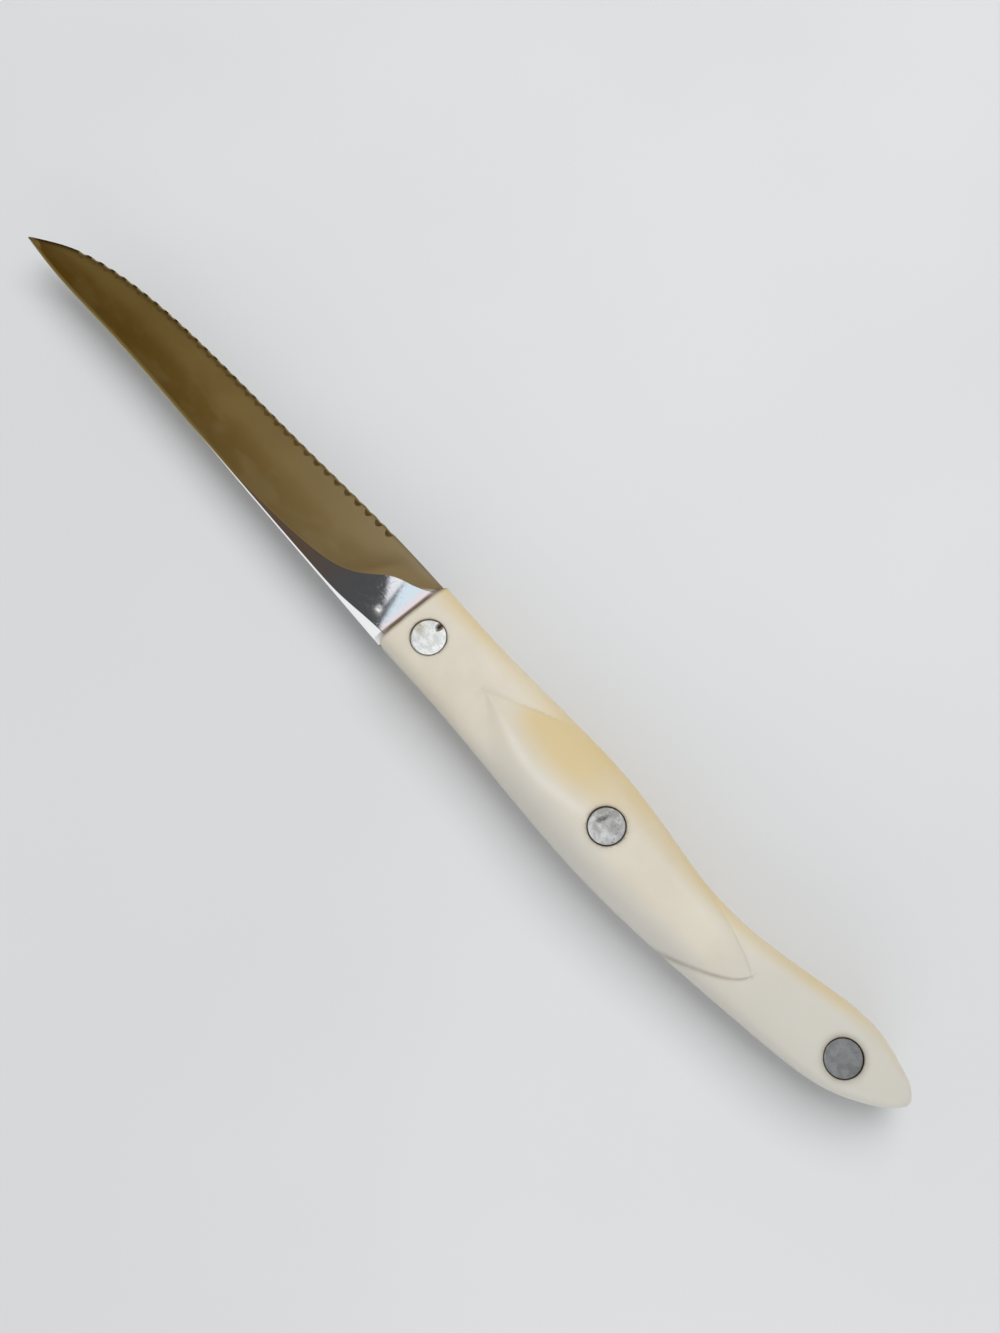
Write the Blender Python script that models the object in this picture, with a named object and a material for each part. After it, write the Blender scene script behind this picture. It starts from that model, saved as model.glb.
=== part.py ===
"""Trimming knife: a hollow-ground serrated blade between two moulded handle scales, held by three rivets.

Run it with blender --background --python part.py. Units are metres, +Z is up.

The knife is drawn in its own frame and then carried to the world by one empty. In that frame x = 0 is
the front of the handle with the tip at +x, y = 0 is the line of the blade's spine with the cutting edge
at -y, and z = 0 is the middle of the steel with the right-hand side at +z. In the world the knife lies
on its left side, and the origin is below the middle of its box.
"""
import math

import bmesh
import bpy
import numpy as np
from mathutils import Matrix, Vector

MM = 0.001

# Blade. Outline points are (distance, height above the spine line) in mm. The distance is counted from the
# handle's front in the first list of a pair, and back from the tip in the second.
BLADE_LENGTH = 121.0 * MM       # front of the handle to the tip
STOCK = 2.0 * MM                # thickness of the steel at the ricasso and the tang
TIP_STOCK = 0.9 * MM            # thickness that the spine tapers to at the tip
EDGE_THICKNESS = 0.36 * MM      # steel left at the cutting edge by the hollow grind
TAPER_START = 25.6 * MM         # distance from the handle where the spine starts to get thinner
HOLLOW = 2.4                    # power of the hollow grind's curve: 1 is a flat wedge, more is deeper
HOLLOW_WEDGE = 0.45             # share of the grind that is a flat wedge all the same
SPINE_FROM_HANDLE = ((0.0, 0.3), (61.6, 0.25))
SPINE_FROM_TIP = ((29.4, 0.5), (8.4, 1.05), (0.0, 0.6))
EDGE_FROM_HANDLE = ((0.0, -17.15), (15.6, -16.75), (41.6, -15.0))
EDGE_FROM_TIP = ((44.4, -12.8), (28.4, -10.95), (16.4, -8.3), (7.4, -4.75), (0.0, 0.1))
SPINE_LAND = 0.6 * MM           # left above the hollow where the grind has climbed to the spine
GRIND_LINE = (                  # (distance from the handle, how far below that land the hollow starts) in mm
    (0.0, 15.9), (4.9, 12.7), (9.7, 10.4), (13.5, 6.8), (17.4, 4.2), (23.6, 2.3), (31.6, 1.1), (45.6, 0.0))
SPINE_BEVEL = ((0.0, 2.4), (7.6, 1.45), (13.1, 0.7), (21.6, 0.35), (61.6, 0.25))  # width of its bevel
BEVEL_SLOPE = 0.2               # how far it drops for its width
BEVEL_SHARE = 0.6               # most of the land that the bevel may take

# Serrations, ground into the right-hand face only
SERRATION_START = 17.2 * MM     # first notch, from the front of the handle
SERRATION_STOP = 10.4 * MM      # no notch begins closer to the tip than this
SERRATION_PITCH = 3.1 * MM
SERRATION_DEPTH = 0.95 * MM     # how far a notch reaches into the right-hand face
SERRATION_TILT = math.radians(66.0)  # the grinding pencil's lean from square to the face
PENCIL_RADIUS = 1.1 * MM        # across its lean; along the edge it is wider
PENCIL_GAP = 0.1 * MM           # left between it and the next one along the edge

# Handle. Points are (distance, value) with lengths in mm. The distance is counted back from the handle's
# front in the first list of a pair, and forward from the butt in the second.
HANDLE_LENGTH = 129.9 * MM
FRONT_LEAN = 0.02               # the handle's front runs back by this much per metre towards the edge
LEAN_FADE = 25.0 * MM           # length over which that lean dies out
OUTLINE_SPINE_FRONT = ((0.0, 0.1), (18.4, -0.3))
OUTLINE_SPINE_BUTT = (
    (81.5, 0.15), (67.5, -0.2), (49.5, -2.0), (31.5, -4.7), (18.5, -7.0), (9.5, -10.0), (0.0, -16.8))
OUTLINE_EDGE_FRONT = ((0.0, -17.4), (13.4, -17.5))
OUTLINE_EDGE_BUTT = (
    (93.5, -18.9), (78.5, -19.5), (64.5, -18.5), (51.5, -17.35), (39.5, -18.3), (23.5, -21.9), (13.5, -23.25),
    (5.9, -21.95), (0.0, -20.2))
HALF_THICKNESS_FRONT = ((0.0, 6.2), (18.4, 6.0))
HALF_THICKNESS_BUTT = ((71.5, 5.6), (47.5, 5.5), (31.5, 5.8), (13.5, 6.0), (0.0, 5.0))
SQUARENESS_FRONT = ((0.0, 4.6), (22.4, 4.0))  # power of the section's curve: 2 is an ellipse, more is squarer
SQUARENESS_BUTT = ((85.5, 3.1), (61.5, 3.0), (35.5, 3.6), (13.5, 4.2), (0.0, 3.4))
BUTT_ROUND = 4.0 * MM           # length of the rounded butt
FRONT_CHAMFER = 0.4 * MM

# The swell: a leaf-shaped crown on each scale. Creases bound it and meet in points front and rear, but at the
# front the one on the spine side dies out in the flat.
CROWN_FRONT = (-21.6 * MM, -9.2 * MM)
CROWN_REAR_GAP = 35.8 * MM      # from its rear point to the butt
CROWN_REAR = (CROWN_REAR_GAP - HANDLE_LENGTH, -11.7 * MM)
CREST = (                       # its crest bows to the spine
    (-30.9 * MM, -7.1 * MM), (-40.4 * MM, -5.9 * MM), (-50.4 * MM, -7.5 * MM), (-64.4 * MM, -10.1 * MM))
CROWN_HEIGHT = 2.7 * MM
CROWN_RISE = 40.0 * MM          # length of the rise behind the front point
RISE_POWER = 1.5                # 1 is a straight ramp, more is steeper at the point
CROWN_FALL = 26.0 * MM          # length of the fall to the rear point
FALL_POWER = 3.0
CROWN_FULLNESS = 2.6            # power of the crown's section: 2 is a round, more is flatter on top
RIDGE_FULLNESS = 1.25           # the same at the front point, where the crown is a ridge
RIDGE_LENGTH = 42.0 * MM        # over which the ridge turns into the full crown
CREASE_FADE = (0.45, 0.85)      # shares of the leaf from its rear, over which the spine side's crease fades
FRONT_FLARE_SPINE = (0.8, 1.0)  # half width of the leaf behind its front point, in mm: factor and power
FRONT_FLARE_EDGE = (0.5, 1.0)
REAR_FLARE_SPINE = (2.1, 0.57)  # the same ahead of its rear point
REAR_FLARE_EDGE = (0.8, 0.7)
FLARE_BLEND = 4                 # power that joins the two flares

# Tang and fits
TANG_INSET = 3.2 * MM           # resin left around the tang
TANG_END_GAP = 8.0 * MM         # from the tang's end to the butt
SHOULDER_GAP = 0.15 * MM        # from the blade's shoulders to the scales
POCKET_CLEARANCE = 0.12 * MM
SEAM = 0.1 * MM                 # between the two scales

# Rivets: (name, x, y, sunk below the resin)
BUTT_RIVET_GAP = 14.5 * MM      # from the last rivet to the butt
RIVETS = (
    ("front", -6.45 * MM, -7.7 * MM, 0.0 * MM),
    ("middle", -56.6 * MM, -9.5 * MM, 0.05 * MM),
    ("butt", BUTT_RIVET_GAP - HANDLE_LENGTH, -14.5 * MM, 0.2 * MM),
)
HEAD_DIAMETER = 7.1 * MM
HEAD_THICKNESS = 1.7 * MM
HEAD_BEVEL = 0.12 * MM
TUBE_DIAMETER = 4.4 * MM
PIN_DIAMETER = 3.0 * MM
RIVET_CLEARANCE = 0.1 * MM      # around heads, tubes and pins
END_CLEARANCE = 0.4 * MM        # at the free ends of tubes and pins

# Fineness of the faceted surfaces
SIDE_STEPS = 6                  # facets from an outline of the handle to a crease
CROWN_STEPS = 12                # facets from crease to crease
HOLLOW_STEPS = 6                # facets across the hollow grind
ROUND_STEPS = 28                # sides of a rivet
PENCIL_STEPS = 20               # sides of a serration cutter
TANG_SECTIONS = 24
PLUNGE_SECTIONS = 19            # sections of the blade where the grind climbs to the spine
MIDDLE_SECTIONS = 8
TIP_SECTIONS = 15
TIP_SHARE = 0.3                 # share of the blade's length with closely spaced sections
TIP_CROWDING = 1.6              # how much closer they get towards the tip
FRONT_SECTIONS = 7              # sections of a scale ahead of its leaf
LEAF_SECTIONS = 36
REAR_SECTIONS = 11
BUTT_SECTIONS = 6
BUTT_TURN = math.radians(82.0)  # how far round the butt's arc the last section is
HEAD_RING = 0.5                 # share of a head's radius with a ring of points, so that its face can curve
PINCH = 0.4 * MM                # least half width of the strip of facets between the creases
FAN = 0.45                      # how fast that strip widens away from the leaf's points
CREASE_LIMIT = 0.93             # how near the outline a crease's facets come, inside the leaf
FAN_LIMIT = 0.6                 # and outside it
CUTTER_EXCESS = 3.0 * MM        # how far cutters reach out of what they cut

STEEL = ("steel", (0.62, 0.62, 0.60, 1.0), 1.0, 0.12)
RESIN = ("ivory_resin", (0.80, 0.74, 0.60, 1.0), 0.0, 0.35)
NICKEL_SILVER = ("nickel_silver", (0.60, 0.60, 0.60, 1.0), 1.0, 0.35)


def blade_points(from_handle, from_tip=()):
    """Points along the blade in metres."""
    near = [(x * MM, y * MM) for x, y in from_handle]
    return near + [(BLADE_LENGTH - x * MM, y * MM) for x, y in from_tip]


def handle_points(from_front, from_butt, unit=MM):
    """Points along the handle in metres, with their values in the given unit."""
    near = [(-x * MM, value * unit) for x, value in from_front]
    return near + [(x * MM - HANDLE_LENGTH, value * unit) for x, value in from_butt]


def smooth_curve(points):
    """A natural cubic spline through (x, value) points, as value(x)."""
    xs, ys = np.array(sorted(points)).T
    gaps = np.diff(xs)
    slopes = np.diff(ys) / gaps
    matrix = np.eye(len(xs))
    target = np.zeros(len(xs))
    for i in range(1, len(xs) - 1):
        matrix[i, i - 1:i + 2] = gaps[i - 1], 2 * (gaps[i - 1] + gaps[i]), gaps[i]
        target[i] = 6 * (slopes[i] - slopes[i - 1])
    bend = np.linalg.solve(matrix, target)

    def value(x):
        i = int(np.clip(np.searchsorted(xs, x) - 1, 0, len(gaps) - 1))
        gap = gaps[i]
        after = xs[i + 1] - x
        before = x - xs[i]
        curved = (bend[i] * after**3 + bend[i + 1] * before**3) / (6 * gap)
        start = (ys[i] / gap - bend[i] * gap / 6) * after
        return curved + start + (ys[i + 1] / gap - bend[i + 1] * gap / 6) * before

    return value


blade_spine = smooth_curve(blade_points(SPINE_FROM_HANDLE, SPINE_FROM_TIP))
blade_edge = smooth_curve(blade_points(EDGE_FROM_HANDLE, EDGE_FROM_TIP))
grind_depth = smooth_curve(blade_points(GRIND_LINE))
spine_bevel = smooth_curve(blade_points(SPINE_BEVEL))
outline_spine = smooth_curve(handle_points(OUTLINE_SPINE_FRONT, OUTLINE_SPINE_BUTT))
outline_edge = smooth_curve(handle_points(OUTLINE_EDGE_FRONT, OUTLINE_EDGE_BUTT))
flat_half_thickness = smooth_curve(handle_points(HALF_THICKNESS_FRONT, HALF_THICKNESS_BUTT))
squareness = smooth_curve(handle_points(SQUARENESS_FRONT, SQUARENESS_BUTT, 1.0))
crest_line = smooth_curve((CROWN_FRONT, *CREST, CROWN_REAR))
GRIND_END = GRIND_LINE[-1][0] * MM      # where the grind has climbed to the spine
BEVEL_END = SPINE_BEVEL[-1][0] * MM     # past here the bevel keeps its width


def spaced(first, last, count):
    """Evenly spaced numbers from first to last."""
    return [first + (last - first) * i / (count - 1) for i in range(count)]


def butt_rounding(x):
    """1 along the handle, falling to 0 in an arc over the rounded butt."""
    into = max(0.0, -x - (HANDLE_LENGTH - BUTT_ROUND)) / BUTT_ROUND
    return math.sqrt(max(0.0, 1.0 - into * into))


def handle_middle(x):
    return (outline_spine(x) + outline_edge(x)) / 2


def handle_half_height(x):
    return (outline_spine(x) - outline_edge(x)) / 2 * butt_rounding(x)


def flare(law, distance):
    """Half width of the leaf at a distance from one of its points."""
    factor, power = law
    return factor * (max(distance, 0.0) / MM) ** power * MM


def leaf_half_width(x, front_law, rear_law):
    """Half width of the crown's leaf on one side: the lesser of its two flares, blended."""
    front = flare(front_law, CROWN_FRONT[0] - x)
    rear = flare(rear_law, x - CROWN_REAR[0])
    if min(front, rear) <= 0.0:
        return 0.0
    return (front**-FLARE_BLEND + rear**-FLARE_BLEND) ** (-1.0 / FLARE_BLEND)


def leaf_middle(x):
    """The line between the leaf's two points."""
    share = (x - CROWN_FRONT[0]) / (CROWN_REAR[0] - CROWN_FRONT[0])
    return CROWN_FRONT[1] + share * (CROWN_REAR[1] - CROWN_FRONT[1])


def leaf_spine(x):
    return leaf_middle(x) + leaf_half_width(x, FRONT_FLARE_SPINE, REAR_FLARE_SPINE)


def leaf_edge(x):
    return leaf_middle(x) - leaf_half_width(x, FRONT_FLARE_EDGE, REAR_FLARE_EDGE)


def eased(share):
    """0 to 1, level at both ends."""
    share = min(max(share, 0.0), 1.0)
    return share * share * (3.0 - 2.0 * share)


def ramp(share, power):
    """0 to 1, level at the end."""
    return 1.0 - (1.0 - min(max(share, 0.0), 1.0)) ** power


def crown_rise(x, y):
    """Height of the crown above the flat of the scale: most at its crest, none at the leaf's outline."""
    behind = CROWN_FRONT[0] - x
    ahead = x - CROWN_REAR[0]
    if min(behind, ahead) <= 0.0:
        return 0.0
    crest = crest_line(x)
    spine_side = y > crest
    rim = leaf_spine(x) if spine_side else leaf_edge(x)
    out = (y - crest) / (rim - crest)
    if out >= 1.0:
        return 0.0
    fade_from, fade_to = CREASE_FADE
    faded = eased((ahead / (ahead + behind) - fade_from) / (fade_to - fade_from)) if spine_side else 0.0
    height = CROWN_HEIGHT * ramp(behind / CROWN_RISE, RISE_POWER) * ramp(ahead / CROWN_FALL, FALL_POWER)
    fullness = RIDGE_FULLNESS + (CROWN_FULLNESS - RIDGE_FULLNESS) * eased(behind / RIDGE_LENGTH)
    return height * (1.0 - out**fullness) ** (1.0 + faded)


def handle_surface(x, y):
    """Height of the scale's outer surface above the middle of the steel."""
    across = abs(y - handle_middle(x)) / handle_half_height(x)
    power = squareness(x)
    side = max(0.0, 1.0 - min(across, 1.0) ** power) ** (1.0 / power)
    return (flat_half_thickness(x) * butt_rounding(x) + crown_rise(x, y)) * side


def lean(x, y):
    """x moved back towards the cutting edge near the handle's front."""
    return x + FRONT_LEAN * y * max(0.0, 1.0 - abs(x) / LEAN_FADE)


def make_object(name, mesh_data, look):
    """A linked object in the knife's frame with its own material."""
    mesh = bpy.data.meshes.new(name)
    mesh_data.to_mesh(mesh)
    mesh_data.free()
    made = bpy.data.objects.new(name, mesh)
    bpy.context.scene.collection.objects.link(made)
    if look:
        mesh.materials.append(material_for(name, look))
    return made


def material_for(name, look):
    slot, colour, metallic, roughness = look
    made = bpy.data.materials.new(f"{slot}_{name}")
    made.use_nodes = True
    shader = made.node_tree.nodes["Principled BSDF"]
    shader.inputs["Base Color"].default_value = colour
    shader.inputs["Metallic"].default_value = metallic
    shader.inputs["Roughness"].default_value = roughness
    made.diffuse_color = colour
    return made


def skin(sections):
    """A closed body over rings of points with one count, capped at both ends."""
    body = bmesh.new()
    rings = [[body.verts.new(point) for point in section] for section in sections]
    for ring, following in zip(rings, rings[1:]):
        for i in range(len(ring)):
            j = (i + 1) % len(ring)
            body.faces.new((ring[i], ring[j], following[j], following[i]))
    bmesh.ops.triangulate(body, faces=body.faces[:], quad_method="SHORT_EDGE")
    body.faces.new(rings[0][::-1])
    body.faces.new(rings[-1])
    bmesh.ops.recalc_face_normals(body, faces=body.faces[:])
    return body


def revolve(profile, place):
    """A closed body turned from (radius, height) points about a z axis at place, on which both ends lie."""
    body = bmesh.new()
    rings = []
    for radius, height in profile:
        count = ROUND_STEPS if radius > 0 else 1
        angles = [2 * math.pi * i / ROUND_STEPS for i in range(count)]
        spots = [(place.x + radius * math.cos(a), place.y + radius * math.sin(a)) for a in angles]
        rings.append([body.verts.new((x, y, height(x, y) if callable(height) else height)) for x, y in spots])
    for ring, following in zip(rings, rings[1:]):
        join_rings(body, ring, following)
    bmesh.ops.recalc_face_normals(body, faces=body.faces[:])
    return body


def join_rings(body, ring, following):
    """Faces between two rings, either of which may be a single point."""
    for i in range(ROUND_STEPS):
        j = (i + 1) % ROUND_STEPS
        corners = [ring[i % len(ring)], ring[j % len(ring)]]
        corners += [following[j % len(following)], following[i % len(following)]]
        body.faces.new(list(dict.fromkeys(corners)))


def cut(target, cutter):
    """Subtracts the cutter, which stays as a hidden wire object."""
    cutter.hide_render = True
    cutter.display_type = "WIRE"
    boolean = target.modifiers.new(f"cut_{cutter.name}", "BOOLEAN")
    boolean.operation = "DIFFERENCE"
    boolean.solver = "EXACT"
    boolean.object = cutter


def spine_half_thickness(x):
    """Half the steel's thickness above the grind."""
    share = max(0.0, x - TAPER_START) / (BLADE_LENGTH - TAPER_START)
    return (STOCK + (TIP_STOCK - STOCK) * share) / 2


def blade_section(x):
    """The blade's ring at x: the right face from the spine's bevel to the edge, then the left face back."""
    top = blade_spine(x)
    edge = blade_edge(x)
    land = min(SPINE_LAND, (top - edge) / 2)
    ground_from = top - land - grind_depth(min(x, GRIND_END))
    bevel = min(spine_bevel(min(x, BEVEL_END)), BEVEL_SHARE * (top - ground_from))
    full = spine_half_thickness(x)
    thin = min(EDGE_THICKNESS / 2, full)
    face = [(top, full - BEVEL_SLOPE * bevel), (top - bevel, full)]
    for share in spaced(1.0, 0.0, HOLLOW_STEPS + 1):
        ground = HOLLOW_WEDGE * share + (1.0 - HOLLOW_WEDGE) * share**HOLLOW
        face.append((edge + share * (ground_from - edge), thin + (full - thin) * ground))
    return ring_of(x, face)


def tang_section(x):
    """The tang's ring at x, flat on both faces."""
    top = outline_spine(x) - TANG_INSET
    edge = outline_edge(x) + TANG_INSET
    heights = spaced(top, edge, HOLLOW_STEPS + 3)
    return ring_of(x, [(y, STOCK / 2) for y in heights])


def ring_of(x, face):
    """One ring from a face of (y, half thickness) and its mirror, leaning with the handle's front."""
    right = [(lean(x, y) if x < LEAN_FADE else x, y, z) for y, z in face]
    return right + [(a, y, -z) for a, y, z in reversed(right)]


def blade_stations():
    """Where the blade is sampled: close together over the plunge and the tip."""
    plunge = spaced(SHOULDER_GAP, GRIND_END, PLUNGE_SECTIONS)
    tip_start = BLADE_LENGTH * (1.0 - TIP_SHARE)
    middle = spaced(GRIND_END, tip_start, MIDDLE_SECTIONS)
    left = [(1.0 - share) ** TIP_CROWDING for share in spaced(0.0, 1.0, TIP_SECTIONS)]
    tip = [BLADE_LENGTH - (BLADE_LENGTH - tip_start) * share for share in left]
    return plunge + middle[1:] + tip[1:]


def make_blade():
    """Tang, ricasso, hollow-ground blade and the row of notches."""
    tang_stations = spaced(-(HANDLE_LENGTH - TANG_END_GAP), SHOULDER_GAP / 2, TANG_SECTIONS)
    sections = [tang_section(x) for x in tang_stations] + [blade_section(x) for x in blade_stations()]
    blade = make_object("blade", skin(sections), STEEL)
    cut(blade, make_object("serration_cutter", serration_pencils(), None))
    hole = TUBE_DIAMETER / 2 + RIVET_CLEARANCE
    profile = [(0.0, -STOCK), (hole, -STOCK), (hole, STOCK), (0.0, STOCK)]
    for name, x, y, _ in RIVETS:
        cut(blade, make_object(f"{name}_tang_hole", revolve(profile, Vector((x, y))), None))
    return blade


def serration_pencils():
    """Oval rods along the edge, leaning so that each notch reaches further into the right-hand face."""
    pencils = bmesh.new()
    half_length = PENCIL_RADIUS * math.tan(SERRATION_TILT) + CUTTER_EXCESS
    oval = (SERRATION_PITCH - PENCIL_GAP) / 2 / PENCIL_RADIUS
    count = int((BLADE_LENGTH - SERRATION_STOP - SERRATION_START) / SERRATION_PITCH) + 1
    for i in range(count):
        x = SERRATION_START + i * SERRATION_PITCH
        slope = (blade_edge(x + MM) - blade_edge(x - MM)) / (2 * MM)
        along = Vector((1.0, slope, 0.0)).normalized()
        inward = Vector((-along.y, along.x, 0.0))
        axis = inward * math.sin(SERRATION_TILT) + Vector((0, 0, math.cos(SERRATION_TILT)))
        across = axis.cross(along)
        reach = SERRATION_DEPTH - PENCIL_RADIUS / math.cos(SERRATION_TILT)
        centre = Vector((x, blade_edge(x), EDGE_THICKNESS / 2)) + inward * reach
        turn = Matrix((along * oval, across, axis)).transposed().to_4x4()
        bmesh.ops.create_cone(
            pencils, cap_ends=True, segments=PENCIL_STEPS, radius1=PENCIL_RADIUS, radius2=PENCIL_RADIUS,
            depth=2 * half_length, matrix=Matrix.Translation(centre) @ turn)
    return pencils


def crease_across(x, side):
    """Where a crease's strip of facets crosses station x: 0 is the handle's middle, 1 its outline."""
    outside = max(x - CROWN_FRONT[0], CROWN_REAR[0] - x)
    if outside < 0.0:
        limit = CREASE_LIMIT
        width = side * ((leaf_spine(x) if side > 0 else leaf_edge(x)) - leaf_middle(x))
    else:
        limit = FAN_LIMIT
        width = FAN * outside
    offset = side * (leaf_middle(x) - handle_middle(x)) + max(width, PINCH)
    return min(max(offset / handle_half_height(x), -limit), limit)


def scale_section(x, shrink=0.0):
    """The outer curve of a scale at x, from the spine outline over to the edge outline."""
    power = squareness(x)
    middle = handle_middle(x)
    half = handle_half_height(x) - shrink

    def angle(across):
        return math.acos(math.copysign(abs(across) ** (power / 2), across))

    spine_crease = angle(crease_across(x, 1.0))
    edge_crease = angle(-crease_across(x, -1.0))
    angles = spaced(0.0, spine_crease, SIDE_STEPS + 1)
    angles += spaced(spine_crease, edge_crease, CROWN_STEPS + 1)[1:]
    angles += spaced(edge_crease, math.pi, SIDE_STEPS + 1)[1:]
    points = []
    for a in angles:
        across = math.copysign(abs(math.cos(a)) ** (2 / power), math.cos(a))
        height = handle_surface(x, middle + across * handle_half_height(x)) - shrink
        y = middle + across * half
        points.append((lean(x, y), y, max(height, SEAM / 2)))
    points[0] = (*points[0][:2], SEAM / 2)
    points[-1] = (*points[-1][:2], SEAM / 2)
    return points


def scale_stations():
    """Where a scale is sampled: close together at the leaf's points and over the rounded butt."""
    front = spaced(-FRONT_CHAMFER, CROWN_FRONT[0], FRONT_SECTIONS)
    reach = CROWN_FRONT[0] - CROWN_REAR[0]
    turns = spaced(0.0, math.pi, LEAF_SECTIONS + 1)[1:]
    leaf = [CROWN_FRONT[0] - reach * (1 - math.cos(turn)) / 2 for turn in turns]
    round_start = BUTT_ROUND - HANDLE_LENGTH
    rear = spaced(CROWN_REAR[0], round_start, REAR_SECTIONS)[1:]
    turns = spaced(0.0, BUTT_TURN, BUTT_SECTIONS + 1)[1:]
    butt = [round_start - BUTT_ROUND * math.sin(turn) for turn in turns]
    return front + leaf + rear + butt


def scale_body(side):
    """A scale's closed body; side is 1 for the right and -1 for the left."""
    sections = [scale_section(0.0, FRONT_CHAMFER)] + [scale_section(x) for x in scale_stations()]
    return skin([[(x, y, side * z) for x, y, z in section] for section in sections])


def tang_pocket():
    """The tang's outline with clearance, open at the handle's front."""
    tang_end = TANG_END_GAP - HANDLE_LENGTH
    stations = [tang_end - POCKET_CLEARANCE] + spaced(tang_end, CUTTER_EXCESS, TANG_SECTIONS)
    half = STOCK / 2 + POCKET_CLEARANCE
    sections = []
    for x in stations:
        inside = min(max(x, tang_end), 0.0)
        top = outline_spine(inside) - TANG_INSET + POCKET_CLEARANCE
        edge = outline_edge(inside) + TANG_INSET - POCKET_CLEARANCE
        sections.append([(x, top, half), (x, edge, half), (x, edge, -half), (x, top, -half)])
    return skin(sections)


def seat_height(place, sunk):
    """Underside of a rivet's head above the middle of the steel."""
    return handle_surface(place.x, place.y) - sunk - HEAD_THICKNESS


def rivet_bore(place, sunk, side):
    """Counterbore for the head and hole for the tube, through one scale."""
    head = HEAD_DIAMETER / 2 + RIVET_CLEARANCE
    tube = TUBE_DIAMETER / 2 + RIVET_CLEARANCE
    seat = seat_height(place, sunk) - RIVET_CLEARANCE
    above = seat + HEAD_THICKNESS + CUTTER_EXCESS
    profile = [(0.0, 0.0), (tube, 0.0), (tube, seat), (head, seat), (head, above), (0.0, above)]
    return revolve([(radius, side * height) for radius, height in profile], place)


def make_scale(name, side):
    """One half of the handle with its tang pocket and rivet bores."""
    scale = make_object(name, scale_body(side), RESIN)
    cut(scale, make_object(f"{name}_pocket_cutter", tang_pocket(), None))
    for rivet, x, y, sunk in RIVETS:
        bore = rivet_bore(Vector((x, y)), sunk, side)
        cut(scale, make_object(f"{name}_{rivet}_bore", bore, None))
    return scale


def head_profile(place, sunk, side):
    """A head ground flush with the resin, from the rim's underside up to its centre."""
    radius = HEAD_DIAMETER / 2
    seat = side * seat_height(place, sunk)

    def ground(x, y):
        return side * (handle_surface(x, y) - sunk)

    def bevelled(x, y):
        return side * (handle_surface(x, y) - sunk - HEAD_BEVEL)

    rim = [(radius, seat), (radius, bevelled), (radius - HEAD_BEVEL, ground)]
    return rim + [(radius * HEAD_RING, ground), (0.0, ground)]


def make_rivet(name, x, y, sunk):
    """The two halves of a cutler's rivet: a pin from the right and a tube from the left."""
    place = Vector((x, y))
    seat = seat_height(place, sunk)
    pin = PIN_DIAMETER / 2
    tube = TUBE_DIAMETER / 2
    bore = pin + RIVET_CLEARANCE
    pin_end = -seat + END_CLEARANCE
    male = [(0.0, pin_end), (pin, pin_end), (pin, seat)] + head_profile(place, sunk, 1.0)
    tube_end = seat - END_CLEARANCE
    female = [(0.0, -seat), (bore, -seat), (bore, tube_end), (tube, tube_end), (tube, -seat)]
    female += head_profile(place, sunk, -1.0)
    return [
        make_object(f"{name}_rivet_male", revolve(male, place), NICKEL_SILVER),
        make_object(f"{name}_rivet_female", revolve(female, place), NICKEL_SILVER),
    ]


def stand_on_origin(pieces):
    """Carries the knife so that the world's origin is below the middle of its box."""
    bpy.context.view_layer.update()
    graph = bpy.context.evaluated_depsgraph_get()
    corners = []
    for piece in pieces:
        mesh = piece.evaluated_get(graph).data
        corners += [vertex.co.copy() for vertex in mesh.vertices]
    low = Vector(min(corner[i] for corner in corners) for i in range(3))
    high = Vector(max(corner[i] for corner in corners) for i in range(3))
    frame = bpy.data.objects.new("knife_frame", None)
    bpy.context.scene.collection.objects.link(frame)
    frame.location = (-(low.x + high.x) / 2, -(low.y + high.y) / 2, -low.z)
    for thing in bpy.context.scene.objects:
        if thing.type == "MESH":
            thing.parent = frame


def main():
    for old in list(bpy.data.objects):
        bpy.data.objects.remove(old, do_unlink=True)
    pieces = [make_blade(), make_scale("right_scale", 1.0), make_scale("left_scale", -1.0)]
    for rivet in RIVETS:
        pieces += make_rivet(*rivet)
    stand_on_origin(pieces)


main()
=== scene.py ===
"""Looks of the trimming knife: its fine surfaces, its finishes, and a pale studio around it.

Every surface is drawn in the knife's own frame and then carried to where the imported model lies. In that
frame x = 0 is the front of the handle with the tip at +x, y = 0 is the line of the blade's spine with the
cutting edge at -y, and z = 0 is the middle of the steel with the right-hand side at +z. Units are metres.
"""
import math

import bmesh
import bpy
import numpy as np
from mathutils import Matrix, Vector


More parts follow.
